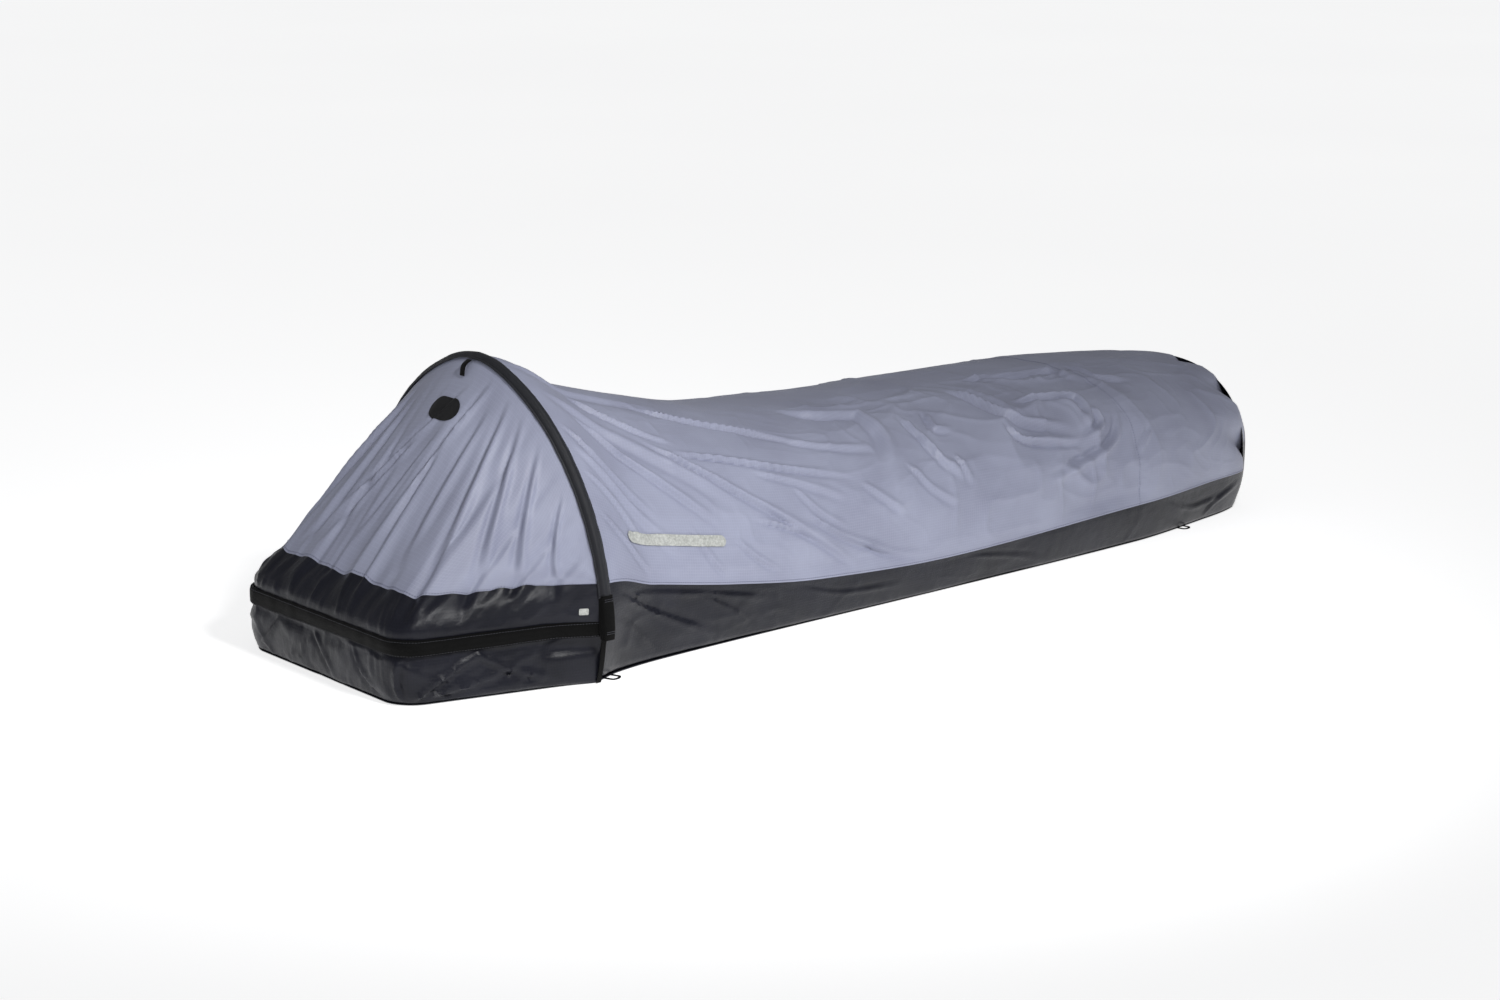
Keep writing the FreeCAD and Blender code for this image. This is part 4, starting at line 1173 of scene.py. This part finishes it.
# the edges where each zip's two halves meet stand 2 mm apart
build_zip("lower_zip", ZIP_INSET, 0.093, -1, "sack", None, 0.001)
build_zip("upper_zip", ZIP_INSET, 0.095, 1, None, DOOR_BLEND, 0.006)
build_zip("mesh_lower_zip", NET_INSET, 0.083, -1, "sack", None, NET_START)
build_zip("mesh_upper_zip", NET_INSET, 0.085, 1, "hoop", None, NET_START)

# ---------------------------------------------------------------------------------------
# Hoop: sleeve, pockets, and the binding below them
# ---------------------------------------------------------------------------------------


def hoop_frames(runs):
    """Points of the hoop, and there the directions along the sack and out of the hoop."""
    path = hoop_point(runs)
    tangent = unit(hoop_point(runs + 1e-4) - hoop_point(runs - 1e-4))
    ahead = np.tile([1.0, 0, 0], (len(runs), 1))
    out = np.cross(ahead, tangent)
    out = out * np.sign((out * (path - np.array([HOOP_X, 0, 0.1]))).sum(axis=1, keepdims=True))
    return path, ahead, out


def build_sleeve():
    """The sleeve round the pole, a little uneven, with a row of thread on each flat edge."""
    runs = np.linspace(-SLEEVE_RUN, SLEEVE_RUN, 241)
    path, ahead, out = hoop_frames(runs)
    # one half of the sleeve's section, from its crown down round the seam's two flat edges
    # to the inside; the other half mirrors it
    half = [
        (0.0045, 0.0078), (0.0072, 0.0055), (0.0082, 0.0030), (0.0095, 0.0010),
        (0.0125, 0.0006), (0.0125, -0.0008), (0.0078, -0.0010), (0.0068, -0.0038),
    ]
    mirrored = [(-a, b) for a, b in half]
    profile = mirrored[4::-1] + [(0.0, 0.0087)] + half + [(0.0, -0.0075)] + mirrored[:4:-1]
    ripple = 1 + 0.035 * noise(runs / 0.018, runs * 0, 141)
    ripple = ripple + 0.02 * noise(runs / 0.006, runs * 0, 142)
    piece = sweep("sleeve_cloth", path, (ahead, out), profile, SLEEVE, scale=ripple)
    finish_piece(piece, "hoop", ["pole_sleeve"])
    for k, shift in (("front", -0.0108), ("back", 0.0108)):
        line = path + ahead * shift + out * 0.0011
        sewn = stitches("sleeve_stitch_" + k, line, out, THREAD, 0.0042, 0.0030)
        finish_piece(sewn, "hoop")


def rounded(wide, high, radius, steps=4):
    """A rectangle's outline from its half-sizes, with rounded corners."""
    points = []
    for cx, cy, first in ((1, 1, 0), (-1, 1, 90), (-1, -1, 180), (1, -1, 270)):
        for k in range(steps + 1):
            a = math.radians(first + 90 * k / steps)
            points.append((cx * (wide - radius) + radius * math.cos(a),
                           cy * (high - radius) + radius * math.sin(a)))
    return points


def build_binding(name, side):
    """The strip that covers the seam of wall and tub side, below the hoop's pocket."""
    s = station(0.001)
    z = np.linspace(0.0012, 0.086, 26)
    y = half_width(s, z) + 0.0022 + 0.002 * smooth(0.06, 0.086, z)
    line = np.stack([np.full_like(z, HOOP_X - 0.001), side * y, z], -1)
    across = np.tile([1.0, 0, 0], (len(z), 1))
    off = np.cross(across, unit(np.gradient(line, axis=0)))
    off = off * np.sign(off[:, 1:2] * side)
    half = 0.0046
    section = [(-half, 0.0006), (half, 0.0006), (half, -0.0008), (-half, -0.0008)]
    piece = sweep("binding_" + name, line, (across, off), section, WEBBING)
    finish_piece(piece, "sack")


def build_pockets():
    """The webbing pockets that hold the pole's tips, with their bar tacks."""
    for name, side in (("right", -1), ("left", 1)):
        share = np.linspace(0, 1, 24)
        runs = side * np.linspace(HALF_RUN - 0.0695, HALF_RUN + 0.0005, len(share))
        path, ahead, out = hoop_frames(runs)
        path[:, 2] = np.where(np.abs(runs) > HALF_RUN - 0.001, path[:, 2] - 0.0015, path[:, 2])
        puff = 1 + 0.05 * np.sin(share * math.pi) - 0.05 * smooth(0.85, 1.0, share)
        section = rounded(0.0105, 0.0094, 0.0045)
        piece = sweep("pocket_webbing_" + name, path, (ahead, out), section, WEBBING, scale=puff)
        finish_piece(piece, "hoop", ["pole_pocket_" + name])
        for k, at in enumerate((0.10, 0.16, 0.84, 0.90)):
            i = int(at * (len(share) - 1))
            line = path[i] + ahead[i] * np.linspace(-0.0085, 0.0085, 12)[:, None] + out[i] * 0.0098
            sewn = stitches("pocket_bar_%s_%d" % (name, k), line, np.tile(out[i], (12, 1)),
                            THREAD, 0.0018, 0.0016, 0.0006)
            finish_piece(sewn, "hoop")
        build_binding(name, side)


build_sleeve()
build_pockets()

# ---------------------------------------------------------------------------------------
# Webbing loops
# ---------------------------------------------------------------------------------------


def ribbon(name, path, flat_axis, width, thick, material, body, nodes=()):
    """A flat band along a path; flat_axis is the direction across its thickness."""
    up = np.tile(np.array(flat_axis, float), (len(path), 1))
    side = unit(np.cross(unit(np.gradient(path, axis=0)), up))
    section = rounded(width / 2, thick / 2, thick * 0.35, 2)
    piece = sweep(name, path, (side, up), section, material)
    return finish_piece(piece, body, nodes)


def build_stake_loops():
    """Loops of webbing that lie flat on the ground, where the frame has them."""
    for end in ("hoop", "foot"):
        for name, side in (("right", -1), ("left", 1)):
            node = "stake_loop_%s_%s" % (end, name)
            low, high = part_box(node)
            middle = (np.array(low) + np.array(high)) / 2
            d = middle[0] - HOOP_X
            edge = station(max(d, 0.001))[FLOOR]
            slope = (station(d + 0.012)[FLOOR] - station(max(0.001, d - 0.012))[FLOOR]) / 0.024
            along = unit(np.array([1.0, side * slope, 0]))
            out = np.array([-along[1] * side, along[0] * side, 0.0])
            out = out * np.sign(out[1] * side)
            foot = np.array([middle[0], side * edge, 0.0]) - out * 0.014
            bow = 0.006  # how far the loop's rounded end stands past its legs
            reach = abs(float((middle - foot) @ out)) + 0.0065 - bow
            half = 0.0105
            legs_in = [foot + along * half + out * k for k in np.linspace(0, reach, 8)]
            turn = [foot + out * reach + along * half * math.cos(a) + out * bow * math.sin(a)
                    for a in np.linspace(0, math.pi, 15)[1:-1]]
            legs_back = [foot - along * half + out * k for k in np.linspace(reach, 0, 8)]
            path = np.array(legs_in + turn + legs_back)
            path[:, 2] = 0.0009
            ribbon("stake_webbing_%s_%s" % (end, name), path, (0, 0, 1), 0.0046, 0.0016,
                   WEBBING, "sack", [node])


def build_tieback():
    """A loop of narrow webbing that stands off the door just below the apex."""
    low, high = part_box("tieback_loop")
    top = hoop_point(np.array([0.0]), ahead=0.012)[0]
    front = (np.array(low) + np.array(high)) / 2
    down = unit(front - top)
    lift = np.array([down[2], 0, -down[0]])
    lift = lift * np.sign(lift[2])
    t = np.linspace(0, 1, 26)
    rise = 0.0016 - 0.0040 * t**2 + 0.0050 * np.sin(t * math.pi) ** 1.3
    path = top + down * (0.004 + 0.030 * t)[:, None] + lift * rise[:, None]
    across = np.tile([0.0, 1.0, 0], (len(t), 1))
    off = np.cross(unit(np.gradient(path, axis=0)), across)
    section = rounded(0.0060, 0.0007, 0.0004, 2)
    piece = sweep("tieback_webbing", path, (across, off), section, WEBBING)
    finish_piece(piece, "hoop", ["tieback_loop"])


build_stake_loops()
build_tieback()

# ---------------------------------------------------------------------------------------
# Plain marks in place of printed ones
# ---------------------------------------------------------------------------------------


def patch(name, surface_at, centre, half, corner, material, blend):
    """A thin rounded patch laid on a surface given as a function of two lengths."""
    wide, high = half
    rows = []
    for level in np.sin(np.linspace(-1, 1, 25) * math.pi / 2) * high:
        over = max(0.0, abs(level) - (high - corner))
        limit = wide - corner + math.sqrt(max(0.0, corner**2 - over**2))
        rows.append([(share * limit, level) for share in np.linspace(-1, 1, 41)])
    flat = np.array(rows)
    grid = surface_at(flat + np.array(centre))
    piece = cloth(name, grid, flat - flat.min(axis=(0, 1)), 0.0005, material)
    finish_piece(piece, None, (), blend)


def line_length(points):
    """The whole length of a bent line."""
    return float(lengths(points)[-1])


def sample(grid, high, wide, at):
    """Points of a grid at lengths down its rows and across its columns, out of its own."""
    r = np.clip(at[..., 0] / high * (grid.shape[0] - 1), 0, grid.shape[0] - 1.001)
    c = np.clip(at[..., 1] / wide * (grid.shape[1] - 1), 0, grid.shape[1] - 1.001)
    i, j = r.astype(int), c.astype(int)
    fr, fc = (r - i)[..., None], (c - j)[..., None]
    return (
        grid[i, j] * (1 - fr) * (1 - fc) + grid[i + 1, j] * fr * (1 - fc)
        + grid[i, j + 1] * (1 - fr) * fc + grid[i + 1, j + 1] * fr * fc
    )


def build_marks():
    """A pale bar on the side, a dark badge on the door and a pale tab on its hem."""
    proud, _, uv = shell_surface(CANOPY_ROWS, 0.0021)
    half = uv[..., 1].max(axis=1).mean()
    first, reach = CANOPY_ROWS[0], CANOPY_ROWS[-1] - CANOPY_ROWS[0]

    def on_side(at):
        return sample(proud, reach, 2 * half, at - (first, 0))

    patch("side_bar", on_side, (0.185, half - 0.388), (0.104, 0.0095), 0.0094, PALE, CANOPY_BLEND)
    raised = door_grid + door_normals * 0.0012
    width = line_length(door_grid[DOOR_ROWS * 3 // 4])
    height = line_length(door_grid[:, PLAN_COUNT // 2])

    def on_door(at):
        return sample(raised, height, width, at[..., ::-1])

    patch("door_badge", on_door, (width / 2 - 0.004, height * 0.76), (0.036, 0.022), 0.0218,
          PATCH, DOOR_BLEND)
    lifted = hem_grid + outward(hem_grid) * 0.0012
    length = line_length(hem_grid[9])
    tall = line_length(hem_grid[:, 40])

    def on_hem(at):
        return sample(lifted, tall, length, at[..., ::-1])

    patch("hem_tab", on_hem, (0.030, tall * 0.42), (0.007, 0.0055), 0.002, PALE, DOOR_BLEND)


build_marks()

# ---------------------------------------------------------------------------------------
# Finishes for the frame's own parts
# ---------------------------------------------------------------------------------------

FINISHES = (
    (POLE, ["pole_section_%d" % k for k in (1, 2, 3, 4)]),
    (FERRULE, ["ferrule_1", "ferrule_2", "ferrule_3"]),
    (TIP, ["pole_tip_right", "pole_tip_left"]),
    (CORD, ["shock_cord"]),
    (SLIDER, ["slider_right", "slider_left", "mesh_slider"]),
    (PULL, ["pull_right", "pull_left"]),
)
for finish, nodes in FINISHES:
    for node in nodes:
        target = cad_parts[node].data
        target.materials.clear()
        target.materials.append(finish)

# ---------------------------------------------------------------------------------------
# Stage, light and camera
# ---------------------------------------------------------------------------------------


def build_stage():
    """A wide pale disc that glows a little, so that it stays white to the horizon."""
    shader = Shader("stage_floor", 0.9)
    cloudy = shader.noise(0.4, 2.0, "Object")
    shader.paint(shader.colour((0.90, 0.90, 0.905), (0.94, 0.94, 0.94), cloudy))
    shader.surface.inputs["Emission Color"].default_value = (1, 1, 1, 1)
    shader.surface.inputs["Emission Strength"].default_value = 0.66
    angle = np.linspace(0, 2 * math.pi, 97)[:-1]
    radius = 60
    ring = np.stack([radius * np.cos(angle), radius * np.sin(angle), np.full(96, -0.0004)], -1)
    mesh = bpy.data.meshes.new("stage_floor")
    mesh.from_pydata(ring.tolist(), [], [list(range(96))])
    mesh.materials.append(shader.material)
    ground = add_object("stage_floor", mesh)


def add_lamp(name, kind, at, aim, energy, size):
    """A lamp aimed at a point; size is a sun's angle, or a disc's width in metres."""
    lamp = bpy.data.lights.new(name, kind)
    lamp.energy = energy
    if kind == "SUN":
        lamp.angle = size
    else:
        lamp.shape = "DISK"
        lamp.size = size
        lamp.spread = math.radians(80)
    holder = add_object(name, lamp)
    holder.location = at
    holder.rotation_euler = (Vector(aim) - Vector(at)).to_track_quat("-Z", "Y").to_euler()


build_stage()
world = bpy.data.worlds.new("studio")
world.use_nodes = True
sky = world.node_tree.nodes["Background"]
sky.inputs["Color"].default_value = (0.97, 0.98, 1.0, 1)
sky.inputs["Strength"].default_value = 0.18
bpy.context.scene.world = world
add_lamp("overhead", "SUN", (-2.2, -2.6, 3.0), (0.0, 0.0, 0.0), 0.50, math.radians(9))
add_lamp("key", "AREA", (-0.75, -2.0, 1.9), (-0.45, -0.1, 0.25), 7.6, 0.45)

camera_data = bpy.data.cameras.new("camera")
camera_data.lens = 69.3
camera_data.sensor_width = 36.0
camera = add_object("camera", camera_data)
camera.location = (-3.405, -3.878, 1.371)
azimuth, elevation = math.radians(40.271), math.radians(13.471)
level = math.cos(elevation)
look = Vector((math.sin(azimuth) * level, math.cos(azimuth) * level, -math.sin(elevation)))
camera.rotation_euler = look.to_track_quat("-Z", "Y").to_euler()
bpy.context.scene.camera = camera
bpy.context.scene.view_settings.view_transform = "Standard"
